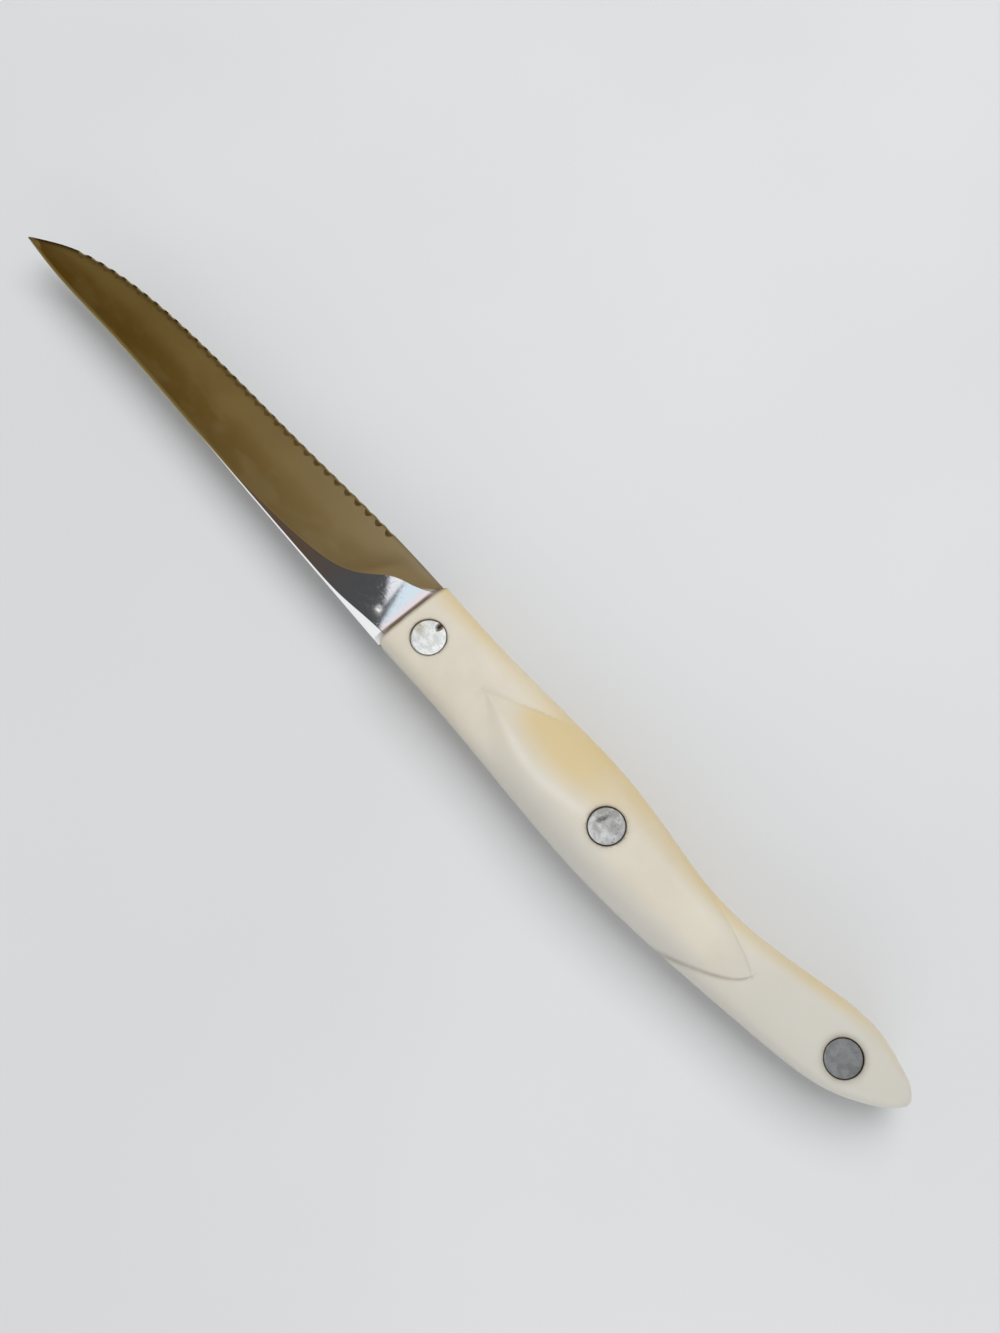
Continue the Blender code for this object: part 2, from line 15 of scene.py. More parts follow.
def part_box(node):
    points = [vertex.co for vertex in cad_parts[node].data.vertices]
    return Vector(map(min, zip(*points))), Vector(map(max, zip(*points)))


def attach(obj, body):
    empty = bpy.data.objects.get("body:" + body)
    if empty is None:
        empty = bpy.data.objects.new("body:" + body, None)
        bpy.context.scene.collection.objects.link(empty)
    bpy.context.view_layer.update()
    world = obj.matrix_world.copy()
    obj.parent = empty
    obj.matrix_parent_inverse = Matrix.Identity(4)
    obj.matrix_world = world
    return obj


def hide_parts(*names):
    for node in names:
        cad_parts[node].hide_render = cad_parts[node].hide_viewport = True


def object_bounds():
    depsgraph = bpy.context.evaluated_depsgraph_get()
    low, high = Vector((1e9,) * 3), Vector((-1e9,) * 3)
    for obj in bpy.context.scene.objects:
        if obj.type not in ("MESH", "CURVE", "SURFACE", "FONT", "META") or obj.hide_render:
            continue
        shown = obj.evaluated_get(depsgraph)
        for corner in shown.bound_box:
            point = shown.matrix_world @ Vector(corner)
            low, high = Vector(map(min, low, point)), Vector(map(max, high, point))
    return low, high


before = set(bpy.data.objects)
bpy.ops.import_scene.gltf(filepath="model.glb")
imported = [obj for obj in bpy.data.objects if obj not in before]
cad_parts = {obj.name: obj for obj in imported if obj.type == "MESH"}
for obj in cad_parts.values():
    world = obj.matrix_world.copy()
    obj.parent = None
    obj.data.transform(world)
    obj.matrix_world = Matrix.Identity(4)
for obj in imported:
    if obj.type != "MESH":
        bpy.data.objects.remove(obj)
CAD_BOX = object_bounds()

MM = 0.001

# Blade. The sizes are the part's own, but the notches reach a little further over the face than in the part.
# Outline points are (distance, height above the spine line) in mm. The distance is counted from the handle's
# front in the first list of a pair, and back from the tip in the second.
BLADE_LENGTH = 121.0 * MM
STOCK = 2.0 * MM
TIP_STOCK = 0.9 * MM
EDGE_THICKNESS = 0.36 * MM
TAPER_START = 25.6 * MM
HOLLOW = 2.4                    # power of the hollow grind's curve
HOLLOW_WEDGE = 0.45             # share of the grind that is a plain wedge
SPINE_FROM_HANDLE = ((0.0, 0.3), (61.6, 0.25))
SPINE_FROM_TIP = ((29.4, 0.5), (8.4, 1.05), (0.0, 0.6))
EDGE_FROM_HANDLE = ((0.0, -17.15), (15.6, -16.75), (41.6, -15.0))
EDGE_FROM_TIP = ((44.4, -12.8), (28.4, -10.95), (16.4, -8.3), (7.4, -4.75), (0.0, 0.1))
SPINE_LAND = 0.6 * MM           # left above the hollow where the grind has climbed to the spine
GRIND_LINE = (                  # (distance from the handle, how far below that land the hollow starts) in mm
    (0.0, 15.9), (4.9, 12.7), (9.7, 10.4), (13.5, 6.8), (17.4, 4.2), (23.6, 2.3), (31.6, 1.1), (45.6, 0.0))
SPINE_BEVEL = ((0.0, 2.4), (7.6, 1.45), (13.1, 0.7), (21.6, 0.35), (61.6, 0.25))
BEVEL_SLOPE = 0.2
BEVEL_SHARE = 0.6
SERRATION_START = 17.2 * MM
SERRATION_STOP = 10.4 * MM
SERRATION_PITCH = 3.1 * MM
SERRATION_DEPTH = 1.25 * MM     # how far a notch reaches into the right-hand face
SERRATION_TILT = math.radians(72.5)  # the grinding pencil's lean from square to the face
PENCIL_RADIUS = 1.1 * MM        # across its lean; along the edge it is wider
PENCIL_GAP = 0.1 * MM           # left between it and the next one along the edge

# Handle. Points are (distance, value) with lengths in mm. The distance is counted back from the handle's
# front in the first list of a pair, and forward from the butt in the second.
HANDLE_LENGTH = 129.9 * MM
FRONT_LEAN = 0.02
LEAN_FADE = 25.0 * MM
OUTLINE_SPINE_FRONT = ((0.0, 0.1), (18.4, -0.3))
OUTLINE_SPINE_BUTT = (
    (81.5, 0.15), (67.5, -0.2), (49.5, -2.0), (31.5, -4.7), (18.5, -7.0), (9.5, -10.0), (0.0, -16.8))
OUTLINE_EDGE_FRONT = ((0.0, -17.4), (13.4, -17.5))
OUTLINE_EDGE_BUTT = (
    (93.5, -18.9), (78.5, -19.5), (64.5, -18.5), (51.5, -17.35), (39.5, -18.3), (23.5, -21.9), (13.5, -23.25),
    (5.9, -21.95), (0.0, -20.2))
HALF_THICKNESS_FRONT = ((0.0, 6.2), (18.4, 6.0))
HALF_THICKNESS_BUTT = ((71.5, 5.6), (47.5, 5.5), (31.5, 5.8), (13.5, 6.0), (0.0, 5.0))
SQUARENESS_FRONT = ((0.0, 4.6), (22.4, 4.0))
SQUARENESS_BUTT = ((85.5, 3.1), (61.5, 3.0), (35.5, 3.6), (13.5, 4.2), (0.0, 3.4))
BUTT_ROUND = 4.0 * MM
FRONT_CHAMFER = 0.4 * MM

# The leaf-shaped crown on each scale
CROWN_FRONT = (-21.6 * MM, -9.2 * MM)
CROWN_REAR_GAP = 35.8 * MM
CROWN_REAR = (CROWN_REAR_GAP - HANDLE_LENGTH, -11.7 * MM)
CREST = (
    (-30.9 * MM, -7.1 * MM), (-40.4 * MM, -5.9 * MM), (-50.4 * MM, -7.5 * MM), (-64.4 * MM, -10.1 * MM))
CROWN_HEIGHT = 2.7 * MM
CROWN_RISE = 40.0 * MM
RISE_POWER = 1.5
CROWN_FALL = 26.0 * MM
FALL_POWER = 3.0
CROWN_FULLNESS = 2.6
RIDGE_FULLNESS = 1.25           # the crown's front is a ridge
RIDGE_LENGTH = 42.0 * MM
CREASE_FADE = (0.45, 0.85)
FRONT_FLARE_SPINE = (0.8, 1.0)
FRONT_FLARE_EDGE = (0.5, 1.0)
REAR_FLARE_SPINE = (2.1, 0.57)
REAR_FLARE_EDGE = (0.8, 0.7)
FLARE_BLEND = 4

# Tang and fits
TANG_INSET = 3.2 * MM
TANG_END_GAP = 8.0 * MM
SHOULDER_GAP = 0.15 * MM
POCKET_CLEARANCE = 0.12 * MM
SEAM = 0.1 * MM

# Rivets: (name, x, y, sunk below the resin)
RING_GAP = {"front": 0.12 * MM, "middle": 0.22 * MM, "butt": 0.18 * MM}  # worn open around each head
BUTT_RIVET_GAP = 14.5 * MM
RIVETS = (
    ("front", -6.45 * MM, -7.7 * MM, 0.0 * MM),
    ("middle", -56.6 * MM, -9.5 * MM, 0.05 * MM),
    ("butt", BUTT_RIVET_GAP - HANDLE_LENGTH, -14.5 * MM, 0.2 * MM),
)
HEAD_DIAMETER = 7.1 * MM
HEAD_THICKNESS = 1.7 * MM
HEAD_BEVEL = 0.12 * MM
TUBE_DIAMETER = 4.4 * MM
PIN_DIAMETER = 3.0 * MM
RIVET_CLEARANCE = 0.1 * MM
END_CLEARANCE = 0.4 * MM

# Wear and grime that are painted on the surfaces, with painted shade and a painted highlight among them. A
# RISE or a FALL is where a change starts and how far it runs.
# Points of the yellowing are (distance in mm, share), from the handle's front and then from the butt.
YELLOW_FROM = (((0.0, 0.4), (18.0, 0.45)), ((85.5, 0.2), (64.0, 0.35), (30.0, 0.45), (0.0, 0.55)))
YELLOW_STRENGTH = (((0.0, 0.9), (12.0, 0.8), (24.0, 0.45)), (
    (85.5, 1.0), (76.0, 1.0), (62.0, 0.9), (50.0, 0.85), (40.0, 0.6), (26.0, 0.8), (12.0, 0.4), (0.0, 0.15)))
FACET_YELLOW = 0.8              # the leaf's own yellowing, along it from its front point
FACET_RISE = (2.0 * MM, 10.0 * MM)
FACET_FALL = (24.0 * MM, 18.0 * MM)
FACET_WIDTH = 6.0 * MM          # across it, from the crest
GREYED = 0.8                    # grey tone to the rear, and painted shade along the spine outline, by shares of the handle's length and of its half height
GREYED_RISE = (0.62, 0.16)
SPINE_SHADE_RISE_ALONG = (0.15, 0.2)
SPINE_SHADE_RISE_ACROSS = (0.2, 0.6)
CREST_HIGHLIGHT = 0.75                   # painted highlight on the crest, along the leaf from its front point
CREST_HIGHLIGHT_RISE = (3.0 * MM, 9.0 * MM)
CREST_HIGHLIGHT_FALL = (26.0 * MM, 12.0 * MM)
CREST_HIGHLIGHT_WIDTH = 1.0 * MM
CREASE_GRIME_AND_SHADE = (                # strength, half width and fall of three lines of grime and painted shade
    (0.45, 0.45 * MM, (12.0 * MM, 16.0 * MM)),  # the spine's crease, from the leaf's rear point
    (0.05, 0.4 * MM, (5.0 * MM, 9.0 * MM)),     # the edge's crease, from the rear point
    (0.1, 0.5 * MM, (4.0 * MM, 16.0 * MM)))     # the edge's crease, from the front point
CREASE_GRIME_AND_SHADE_RISE = (-1.0 * MM, 1.5 * MM)       # of all three, at the rear point
RING_GRIME = (0.85, 0.2 * MM)   # strength and width of the grime that is packed around a rivet's head
# a soft dark halo around each head: grime, and painted shade where the head is sunk
HALO_GRIME_AND_SHADE = {"front": 0.1, "middle": 0.2, "butt": 0.4}
HALO_WIDTH = 0.75 * MM
FRONT_GRIME = (0.3, 0.7)        # on the handle's front face, and what its rim adds
FRONT_GRIME_WIDTH = 0.5 * MM
FRONT_RIM_RISE = (0.9, 0.05)    # by shares of the front face's radius
CORNER_CLEAN = 0.8              # taken off again at the spine's corner
CORNER_RISE = (0.75, 0.2)
SEAM_GRIME = (0.45, 0.2 * MM)   # strength and width along the seam between the scales
STAIN = (0.3, 0.35)             # brown stain in the hollow, and what it gains towards the tip
STAIN_START_RISE = (12.0 * MM, 10.0 * MM)
STAIN_TIP_RISE = (15.0 * MM, 60.0 * MM)
STAIN_SPINE_RISE = (0.3, 0.35)  # by shares of the hollow's height
JOINT_GRIME = (0.15, 0.82)      # on the steel at the handle's front: at both ends, and what the middle adds
JOINT_GRIME_RISE = (0.0, 3.5 * MM)
JOINT_WIDTH = 1.7 * MM
JOINT_BLUR = 0.25 * MM
EDGE_GRIME = (0.3, 0.6)         # along the cutting edge, and what it gains towards the tip
EDGE_GRIME_WIDTH = (0.5 * MM, 0.35 * MM)

# Colours of the finishes, and how deep their relief is
CREAM = ((0.66, 0.605, 0.495), (0.71, 0.665, 0.56))
WARM_CREAM = (0.73, 0.65, 0.55)
# the rear's grey, also used as painted shade along the spine outline
GREY_RESIN = (0.60, 0.585, 0.53)
YELLOW_RESIN = (0.66, 0.51, 0.235)
# colour of the painted highlight on the crest
CREST_HIGHLIGHT_TONE = (0.75, 0.715, 0.64)
# dark of the grime, also of the painted shade in the creases and around the rivets
RESIN_GRIME_AND_SHADE = (0.13, 0.09, 0.045)
RESIN_RELIEF = 0.012 * MM
RESIN_DEPTH = 1.5 * MM          # how far light gets into the resin
BARE_STEEL = (0.66, 0.66, 0.65)
FILMED_STEEL = (0.62, 0.58, 0.49)
STAINED_STEEL = (0.42, 0.33, 0.11)
STEEL_GRIME = (0.1, 0.07, 0.03)
STEEL_RELIEF = 0.002 * MM
NOTCH_DARK = ((0.06, 0.034, 0.006), (0.085, 0.055, 0.015))
NOTCH_EDGE_TONE = (0.23, 0.175, 0.075)
NOTCH_RELIEF = 0.01 * MM
RIVET_PITS = (0.05, 0.038, 0.025)
RIVET_RELIEF = 0.01 * MM
# Each rivet's tones are set to how bright it looks, partly tarnish and partly painted light: brighter at the
# front, darker at the middle and the butt.
RIVET_TONES = {                 # bright, dull and stained tone, roughness, and how strongly it is pitted
    "front": ((0.86, 0.88, 0.87), (0.79, 0.81, 0.80), (0.55, 0.51, 0.40), 0.16, 0.1),
    "middle": ((0.68, 0.69, 0.70), (0.50, 0.50, 0.50), (0.2, 0.2, 0.195), 0.3, 0.3),
    "butt": ((0.43, 0.44, 0.45), (0.34, 0.345, 0.35), (0.40, 0.41, 0.42), 0.4, 0.25),
}
FLOOR_TONES = ((0.70, 0.71, 0.72), (0.74, 0.75, 0.76))

# Marks on the rivets' heads, from the head's middle: (x, y, half length, half width, turn)
PIT = (0.27 * MM, -3.0 * MM, 0.8 * MM, 0.45 * MM, math.radians(100.0))
PIT_DEPTH = 0.25 * MM
STAINS = {
    "front": (2.6 * MM, 0.2 * MM, 1.2 * MM, 0.9 * MM, 0.0),
    "middle": (1.55 * MM, -0.3 * MM, 1.45 * MM, 0.5 * MM, math.radians(74.0)),
    "butt": (0.0, 0.0, 1.0 * MM, 1.0 * MM, 0.0),
}

# Fineness of the surfaces
SIDE_STEPS = 26
CROWN_STEPS = 64
FRONT_SECTIONS = 60
LEAF_SECTIONS = 230
REAR_SECTIONS = 80
BUTT_SECTIONS = 24
ROUND_SECTIONS = 5              # sections of the rounded front edge
FACE_INSETS = (3.0 * MM, 0.7 * MM)  # rings on the front face, inside that edge
BUTT_TURN = math.radians(82.0)  # how far round its arc the butt is drawn before it is capped
PINCH = 0.4 * MM                # least half width of the rows between the creases
FAN = 0.45                      # how fast those rows widen beyond the leaf's points
CREASE_LIMIT = 0.93             # how near to the outline they get, along the leaf and beyond it
FAN_LIMIT = 0.6
SOFT_EDGE = 0.12 * MM           # width over which a polished edge of the steel turns
BEVEL_ROWS = 2
FLAT_ROWS = 8
HOLLOW_ROWS = 30
TANG_SECTIONS = 50
PLUNGE_SECTIONS = 140
MIDDLE_SECTIONS = 90
TIP_SECTIONS = 120
TIP_SHARE = 0.3
TIP_CROWDING = 1.6
PENCIL_SIDES = 40
RAY_START = 100.0 * MM          # from the spine's line to where rays that look for the edge set out
RIVET_SIDES = 96
BORE_SIDES = 96
HEAD_RINGS = 22
HEAD_BEVEL_POINTS = 4
SLOPE_STEP = 1.0 * MM           # to the points that tell the slope of the resin at a rivet
MERGE_DISTANCE = 0.001 * MM     # within which the lathe joins points
CUTTER_EXCESS = 3.0 * MM
SHARP_ANGLE = math.radians(38.0)

# Camera, in the knife's frame, found from the photo's perspective
CAMERA_PLACE = (-64.91 * MM, 16.41 * MM, 242.14 * MM)
CAMERA_RIGHT = (-0.64776, -0.76148, -0.02351)
CAMERA_FORWARD = (0.18530, -0.12754, -0.97437)
CAMERA_LENS = 45.0              # mm
CAMERA_SENSOR = 36.0            # mm, across the picture
CAMERA_CLIP = 10.0 * MM
BACKGROUND = (0.78, 0.79, 0.80)  # what the camera sees behind the floor
FLOOR_SIZE = 6.0
FLOOR_DROP = 0.2 * MM
FLOOR_FADE = (0.2, 0.6)         # distances between which the floor turns into the background
LAMPS = {                       # place, size and power
    "key_lamp": ((0.1, -0.42, 0.9), 0.8, 6.5),
    "fill_lamp": ((-0.5, 0.42, 0.16), 0.5, 1.6),
}
EVEN_LIGHT = (0.42, 0.423, 0.428)

# The room that metal mirrors, by a direction's share along the knife and across it. A surface is its first
# colour and the bands (from, to, next colour) in which it changes along the knife. A slanted line is its
# slope and then the band in which it is crossed.
BRIGHT_WALL = ((1.25, 1.28, 1.3), (0.41, 0.485, (0.34, 0.27, 0.09)))
SHADED_WALL = ((0.10, 0.102, 0.11), (0.30, 0.36, (0.13, 0.09, 0.065)), (0.38, 0.46, (0.2, 0.14, 0.045)))
DIM_WALL = ((0.42, 0.43, 0.44), (-0.25, 0.02, (0.72, 0.72, 0.73)))
REVEAL = ((1.15, 1.17, 1.18), (0.247, 0.253, (1.18, 1.08, 1.14)))
NEAR_CEILING = ((0.36, 0.28, 0.15), (0.27, 0.48, (0.27, 0.19, 0.07)), (0.45, 0.64, (0.15, 0.095, 0.022)))
FAR_CEILING = ((0.30, 0.235, 0.125), (0.30, 0.55, (0.14, 0.085, 0.02)))
KHAKI = (0.32, 0.245, 0.13)
DARK_CORNER = (0.1, 0.072, 0.03)
BLUE_PANE = (0.98, 1.15, 1.3)
WHITE_PANE = (1.18, 1.2, 1.28)
WINDOW_BAR = (0.16, 0.17, 0.19)
GLOW = (1.9, 1.9, 1.85)         # a second window behind the first, which the resin mirrors softly
BULB_LIGHT = (1.6, 1.6, 1.6)
HORIZON = (0.55, 0.55, 0.55)
REAR_WALL = (0.6, 0.6, 0.6)
BULB = (0.2804, -0.0822)        # where a bare lamp stands
BULB_EDGE = (0.002, 0.003)      # distances from it at which its light ends
GLOW_MIDDLE = (0.06, -0.01)
GLOW_EDGE_ALONG = (0.08, 0.14)
GLOW_EDGE_ACROSS = (0.06, 0.11)
WINDOW_SIDE = (0.774, 0.2112, 0.2128)
BAR_SIDE = (0.332, 0.2452, 0.246)
BAR_FAR_SIDE = (0.163, 0.265, 0.2658)
FAR_CEILING_SIDE = (-0.35, -0.352, -0.33)
DIM_WALL_END = (0.08, 0.16)
REVEAL_END = (0.2687, 0.2705)
WINDOW_END = (0.245, 0.262)
WINDOW_TOP = (-0.131, -0.123)
SHADED_WALL_TOP = (0.08, 0.2)
BRIGHT_WALL_TOP = (0.42, 0.5)
KHAKI_END = (-0.34, -0.28)
DARK_CORNER_END = (-0.95, -0.75)
HORIZON_END = (0.3, 0.5)        # by how far upwards a direction points
RIPPLE_SCALE = 14.0             # waves in the ceiling's pattern
RIPPLE = 0.05

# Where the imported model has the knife's own origin: its front rivet and the middle of its steel tell
RIVET_LOW, RIVET_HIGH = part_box("front_rivet_male")
BLADE_LOW, BLADE_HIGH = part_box("blade")
ORIGIN = Vector((
    (RIVET_LOW.x + RIVET_HIGH.x) / 2 - RIVETS[0][1],
    (RIVET_LOW.y + RIVET_HIGH.y) / 2 - RIVETS[0][2],
    (BLADE_LOW.z + BLADE_HIGH.z) / 2))


# Curves of the knife


def blade_points(from_handle, from_tip=()):
    """Points along the blade in metres."""
    near = [(x * MM, y * MM) for x, y in from_handle]
    return near + [(BLADE_LENGTH - x * MM, y * MM) for x, y in from_tip]


def handle_points(from_front, from_butt, unit=MM):
    """Points along the handle in metres, with their values in the given unit."""
    near = [(-x * MM, value * unit) for x, value in from_front]
    return near + [(x * MM - HANDLE_LENGTH, value * unit) for x, value in from_butt]


def smooth_curve(points):
    """A natural cubic spline through (x, value) points, as value(x)."""
    xs, ys = np.array(sorted(points)).T
    gaps = np.diff(xs)
    slopes = np.diff(ys) / gaps
    matrix = np.eye(len(xs))
    target = np.zeros(len(xs))
    for i in range(1, len(xs) - 1):
        matrix[i, i - 1:i + 2] = gaps[i - 1], 2 * (gaps[i - 1] + gaps[i]), gaps[i]
        target[i] = 6 * (slopes[i] - slopes[i - 1])
    bend = np.linalg.solve(matrix, target)

    def value(x):
        i = int(np.clip(np.searchsorted(xs, x) - 1, 0, len(gaps) - 1))
        gap = gaps[i]
        after = xs[i + 1] - x
        before = x - xs[i]
        curved = (bend[i] * after**3 + bend[i + 1] * before**3) / (6 * gap)
        start = (ys[i] / gap - bend[i] * gap / 6) * after
        return curved + start + (ys[i + 1] / gap - bend[i + 1] * gap / 6) * before

    return value


blade_spine = smooth_curve(blade_points(SPINE_FROM_HANDLE, SPINE_FROM_TIP))
blade_edge = smooth_curve(blade_points(EDGE_FROM_HANDLE, EDGE_FROM_TIP))
grind_depth = smooth_curve(blade_points(GRIND_LINE))
spine_bevel = smooth_curve(blade_points(SPINE_BEVEL))
outline_spine = smooth_curve(handle_points(OUTLINE_SPINE_FRONT, OUTLINE_SPINE_BUTT))
outline_edge = smooth_curve(handle_points(OUTLINE_EDGE_FRONT, OUTLINE_EDGE_BUTT))
flat_half_thickness = smooth_curve(handle_points(HALF_THICKNESS_FRONT, HALF_THICKNESS_BUTT))
squareness = smooth_curve(handle_points(SQUARENESS_FRONT, SQUARENESS_BUTT, 1.0))
crest_line = smooth_curve((CROWN_FRONT, *CREST, CROWN_REAR))
yellow_from = smooth_curve(handle_points(*YELLOW_FROM, 1.0))
yellow_strength = smooth_curve(handle_points(*YELLOW_STRENGTH, 1.0))
GRIND_END = GRIND_LINE[-1][0] * MM
BEVEL_END = SPINE_BEVEL[-1][0] * MM


def spaced(first, last, count):
    """Evenly spaced numbers from first to last."""
    return [first + (last - first) * i / (count - 1) for i in range(count)]


def clamped(share):
    return min(max(share, 0.0), 1.0)


def eased(share):
    """0 to 1, level at both ends."""
    share = clamped(share)
    return share * share * (3.0 - 2.0 * share)


def rising(value, start, length):
    """0 up to start, 1 from a length further on."""
    return eased((value - start) / length)


def near_line(distance, width):
    """1 on a line, dying out over a few widths."""
    return math.exp(-(distance / width) ** 2)


def ramp(share, power):
    """0 to 1, level at the end."""
    return 1.0 - (1.0 - clamped(share)) ** power


def butt_rounding(x):
    """1 along the handle, falling to 0 in an arc over the rounded butt."""
    into = max(0.0, -x - (HANDLE_LENGTH - BUTT_ROUND)) / BUTT_ROUND
    return math.sqrt(max(0.0, 1.0 - into * into))


def handle_middle(x):
    return (outline_spine(x) + outline_edge(x)) / 2


def handle_half_height(x):
    return (outline_spine(x) - outline_edge(x)) / 2 * butt_rounding(x)


def flare(law, distance):
    """Half width of the leaf at a distance from one of its points."""
    factor, power = law
    return factor * (max(distance, 0.0) / MM) ** power * MM


def leaf_half_width(x, front_law, rear_law):
    """Half width of the crown's leaf on one side: the lesser of its two flares, blended."""
    front = flare(front_law, CROWN_FRONT[0] - x)
    rear = flare(rear_law, x - CROWN_REAR[0])
    if min(front, rear) <= 0.0:
        return 0.0
    return (front**-FLARE_BLEND + rear**-FLARE_BLEND) ** (-1.0 / FLARE_BLEND)


def leaf_middle(x):
    """The line between the leaf's two points."""
    share = (x - CROWN_FRONT[0]) / (CROWN_REAR[0] - CROWN_FRONT[0])
    return CROWN_FRONT[1] + share * (CROWN_REAR[1] - CROWN_FRONT[1])


def leaf_spine(x):
    return leaf_middle(x) + leaf_half_width(x, FRONT_FLARE_SPINE, REAR_FLARE_SPINE)


def leaf_edge(x):
    return leaf_middle(x) - leaf_half_width(x, FRONT_FLARE_EDGE, REAR_FLARE_EDGE)


def crown_rise(x, y):
    """Height of the crown above the flat of the scale: most at its crest, none at the leaf's outline."""
    behind = CROWN_FRONT[0] - x
    ahead = x - CROWN_REAR[0]
    if min(behind, ahead) <= 0.0:
        return 0.0
    crest = crest_line(x)
    spine_side = y > crest
    rim = leaf_spine(x) if spine_side else leaf_edge(x)
    out = (y - crest) / (rim - crest)
    if out >= 1.0:
        return 0.0
    fade_from, fade_to = CREASE_FADE
    faded = eased((ahead / (ahead + behind) - fade_from) / (fade_to - fade_from)) if spine_side else 0.0
    height = CROWN_HEIGHT * ramp(behind / CROWN_RISE, RISE_POWER) * ramp(ahead / CROWN_FALL, FALL_POWER)
    fullness = RIDGE_FULLNESS + (CROWN_FULLNESS - RIDGE_FULLNESS) * eased(behind / RIDGE_LENGTH)
    return height * (1.0 - out**fullness) ** (1.0 + faded)


def handle_surface(x, y):
    """Height of the scale's outer surface above the middle of the steel."""
    across = abs(y - handle_middle(x)) / handle_half_height(x)
    power = squareness(x)
    side = max(0.0, 1.0 - min(across, 1.0) ** power) ** (1.0 / power)
    return (flat_half_thickness(x) * butt_rounding(x) + crown_rise(x, y)) * side


def lean(x, y):
    """x moved back towards the cutting edge near the handle's front."""
    return x + FRONT_LEAN * y * max(0.0, 1.0 - abs(x) / LEAN_FADE)


# Meshes


def make_piece(name, mesh):
    """A linked object at the world's origin, with its place in its mesh."""
    piece = bpy.data.objects.new(name, mesh)
    bpy.context.scene.collection.objects.link(piece)
    return piece


def mesh_of(name, body):
    """A mesh from a bmesh drawn in the knife's frame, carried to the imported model's place."""
    bmesh.ops.translate(body, verts=body.verts[:], vec=ORIGIN)
    bmesh.ops.recalc_face_normals(body, faces=body.faces[:])
    mesh = bpy.data.meshes.new(name)
    body.to_mesh(mesh)
    body.free()
    return mesh


def skin(sections):
    """A closed body over rings of points with one count, capped at both ends."""
    body = bmesh.new()
    rings = [[body.verts.new(point) for point in section] for section in sections]
    for ring, following in zip(rings, rings[1:]):
        for i in range(len(ring)):
            j = (i + 1) % len(ring)
            body.faces.new((ring[i], ring[j], following[j], following[i]))
    body.faces.new(rings[0][::-1])
    body.faces.new(rings[-1])
    return body


def baked(piece):
    """The piece with its modifiers made part of a plain mesh."""
    graph = bpy.context.evaluated_depsgraph_get()
    mesh = bpy.data.meshes.new_from_object(piece.evaluated_get(graph))
    piece.modifiers.clear()
    piece.data = mesh
    mesh.name = piece.name
    return piece


def cut_away(piece, cutters):
    """Subtracts the cutters from the piece and removes them."""
    for cutter in cutters:
        boolean = piece.modifiers.new(cutter.name, "BOOLEAN")
        boolean.operation = "DIFFERENCE"
        boolean.solver = "MANIFOLD"
        boolean.material_mode = "TRANSFER"
        boolean.object = cutter
    baked(piece)
    for cutter in cutters:
        bpy.data.objects.remove(cutter, do_unlink=True)


def shade(piece):
    """Smooth shading that stays crisp at real edges."""
    for face in piece.data.polygons:
        face.use_smooth = True
    piece.data.set_sharp_from_angle(angle=SHARP_ANGLE)


def crisp_seams(piece):
    """Smooth shading that also stays crisp where one material meets another."""
    shade(piece)
    body = bmesh.new()
    body.from_mesh(piece.data)
    for edge in body.edges:
        if len({face.material_index for face in edge.link_faces}) > 1:
            edge.smooth = False
    body.to_mesh(piece.data)
    body.free()


def keep_inside(piece):
    """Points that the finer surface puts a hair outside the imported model's box, moved back onto it."""
    low, high = CAD_BOX
    for vertex in piece.data.vertices:
        vertex.co = [min(max(value, least), most) for value, least, most in zip(vertex.co, low, high)]


def paint(piece, name, value):
    """A number at every vertex from value(x, y, z) in the knife's frame, for the material to read."""
    numbers = [value(*(vertex.co - ORIGIN)) for vertex in piece.data.vertices]
    layer = piece.data.attributes.new(name, "FLOAT", "POINT")
    layer.data.foreach_set("value", numbers)


# Geometry Nodes and shader nodes


def fill(node, inputs):
    """Sets a node's inputs; one that is given a socket is linked."""
    for name, value in inputs.items():
        if isinstance(value, bpy.types.NodeSocket):
            node.id_data.links.new(value, node.inputs[name])
        else:
            node.inputs[name].default_value = value


def add(tree, kind, inputs=None, **settings):
    """A node with its settings and inputs."""
    node = tree.nodes.new(kind)
    for name, value in settings.items():
        setattr(node, name, value)
    fill(node, inputs or {})
    return node


def made(tree, kind, inputs=None, **settings):
    """The first output of a new node."""
    return add(tree, kind, inputs, **settings).outputs[0]


def maths(tree, operation, *values):
    """The result of a Math node."""
    return made(tree, "ShaderNodeMath", dict(enumerate(values)), operation=operation)


def times(tree, first, second):
    return maths(tree, "MULTIPLY", first, second)


def vectors(tree, operation, *values, scale=None):
    """The vector that a Vector Math node gives."""
    inputs = dict(enumerate(values))
    if scale is not None:
        inputs["Scale"] = scale
    return made(tree, "ShaderNodeVectorMath", inputs, operation=operation)


def measured(tree, operation, *values):
    """The number that a Vector Math node gives."""
    return add(tree, "ShaderNodeVectorMath", dict(enumerate(values)), operation=operation).outputs["Value"]


def triple(tree, **parts):
    """A vector from its X, Y and Z."""
    return made(tree, "ShaderNodeCombineXYZ", parts)


def node_group(name, inputs):
    """An empty Geometry Nodes tree with named inputs: (name, socket type)."""
    tree = bpy.data.node_groups.new(name, "GeometryNodeTree")
    tree.interface.new_socket("Geometry", in_out="INPUT", socket_type="NodeSocketGeometry")
    for label, kind in inputs:
        tree.interface.new_socket(label, in_out="INPUT", socket_type=kind)
    tree.interface.new_socket("Geometry", in_out="OUTPUT", socket_type="NodeSocketGeometry")
    return tree, tree.nodes.new("NodeGroupInput").outputs


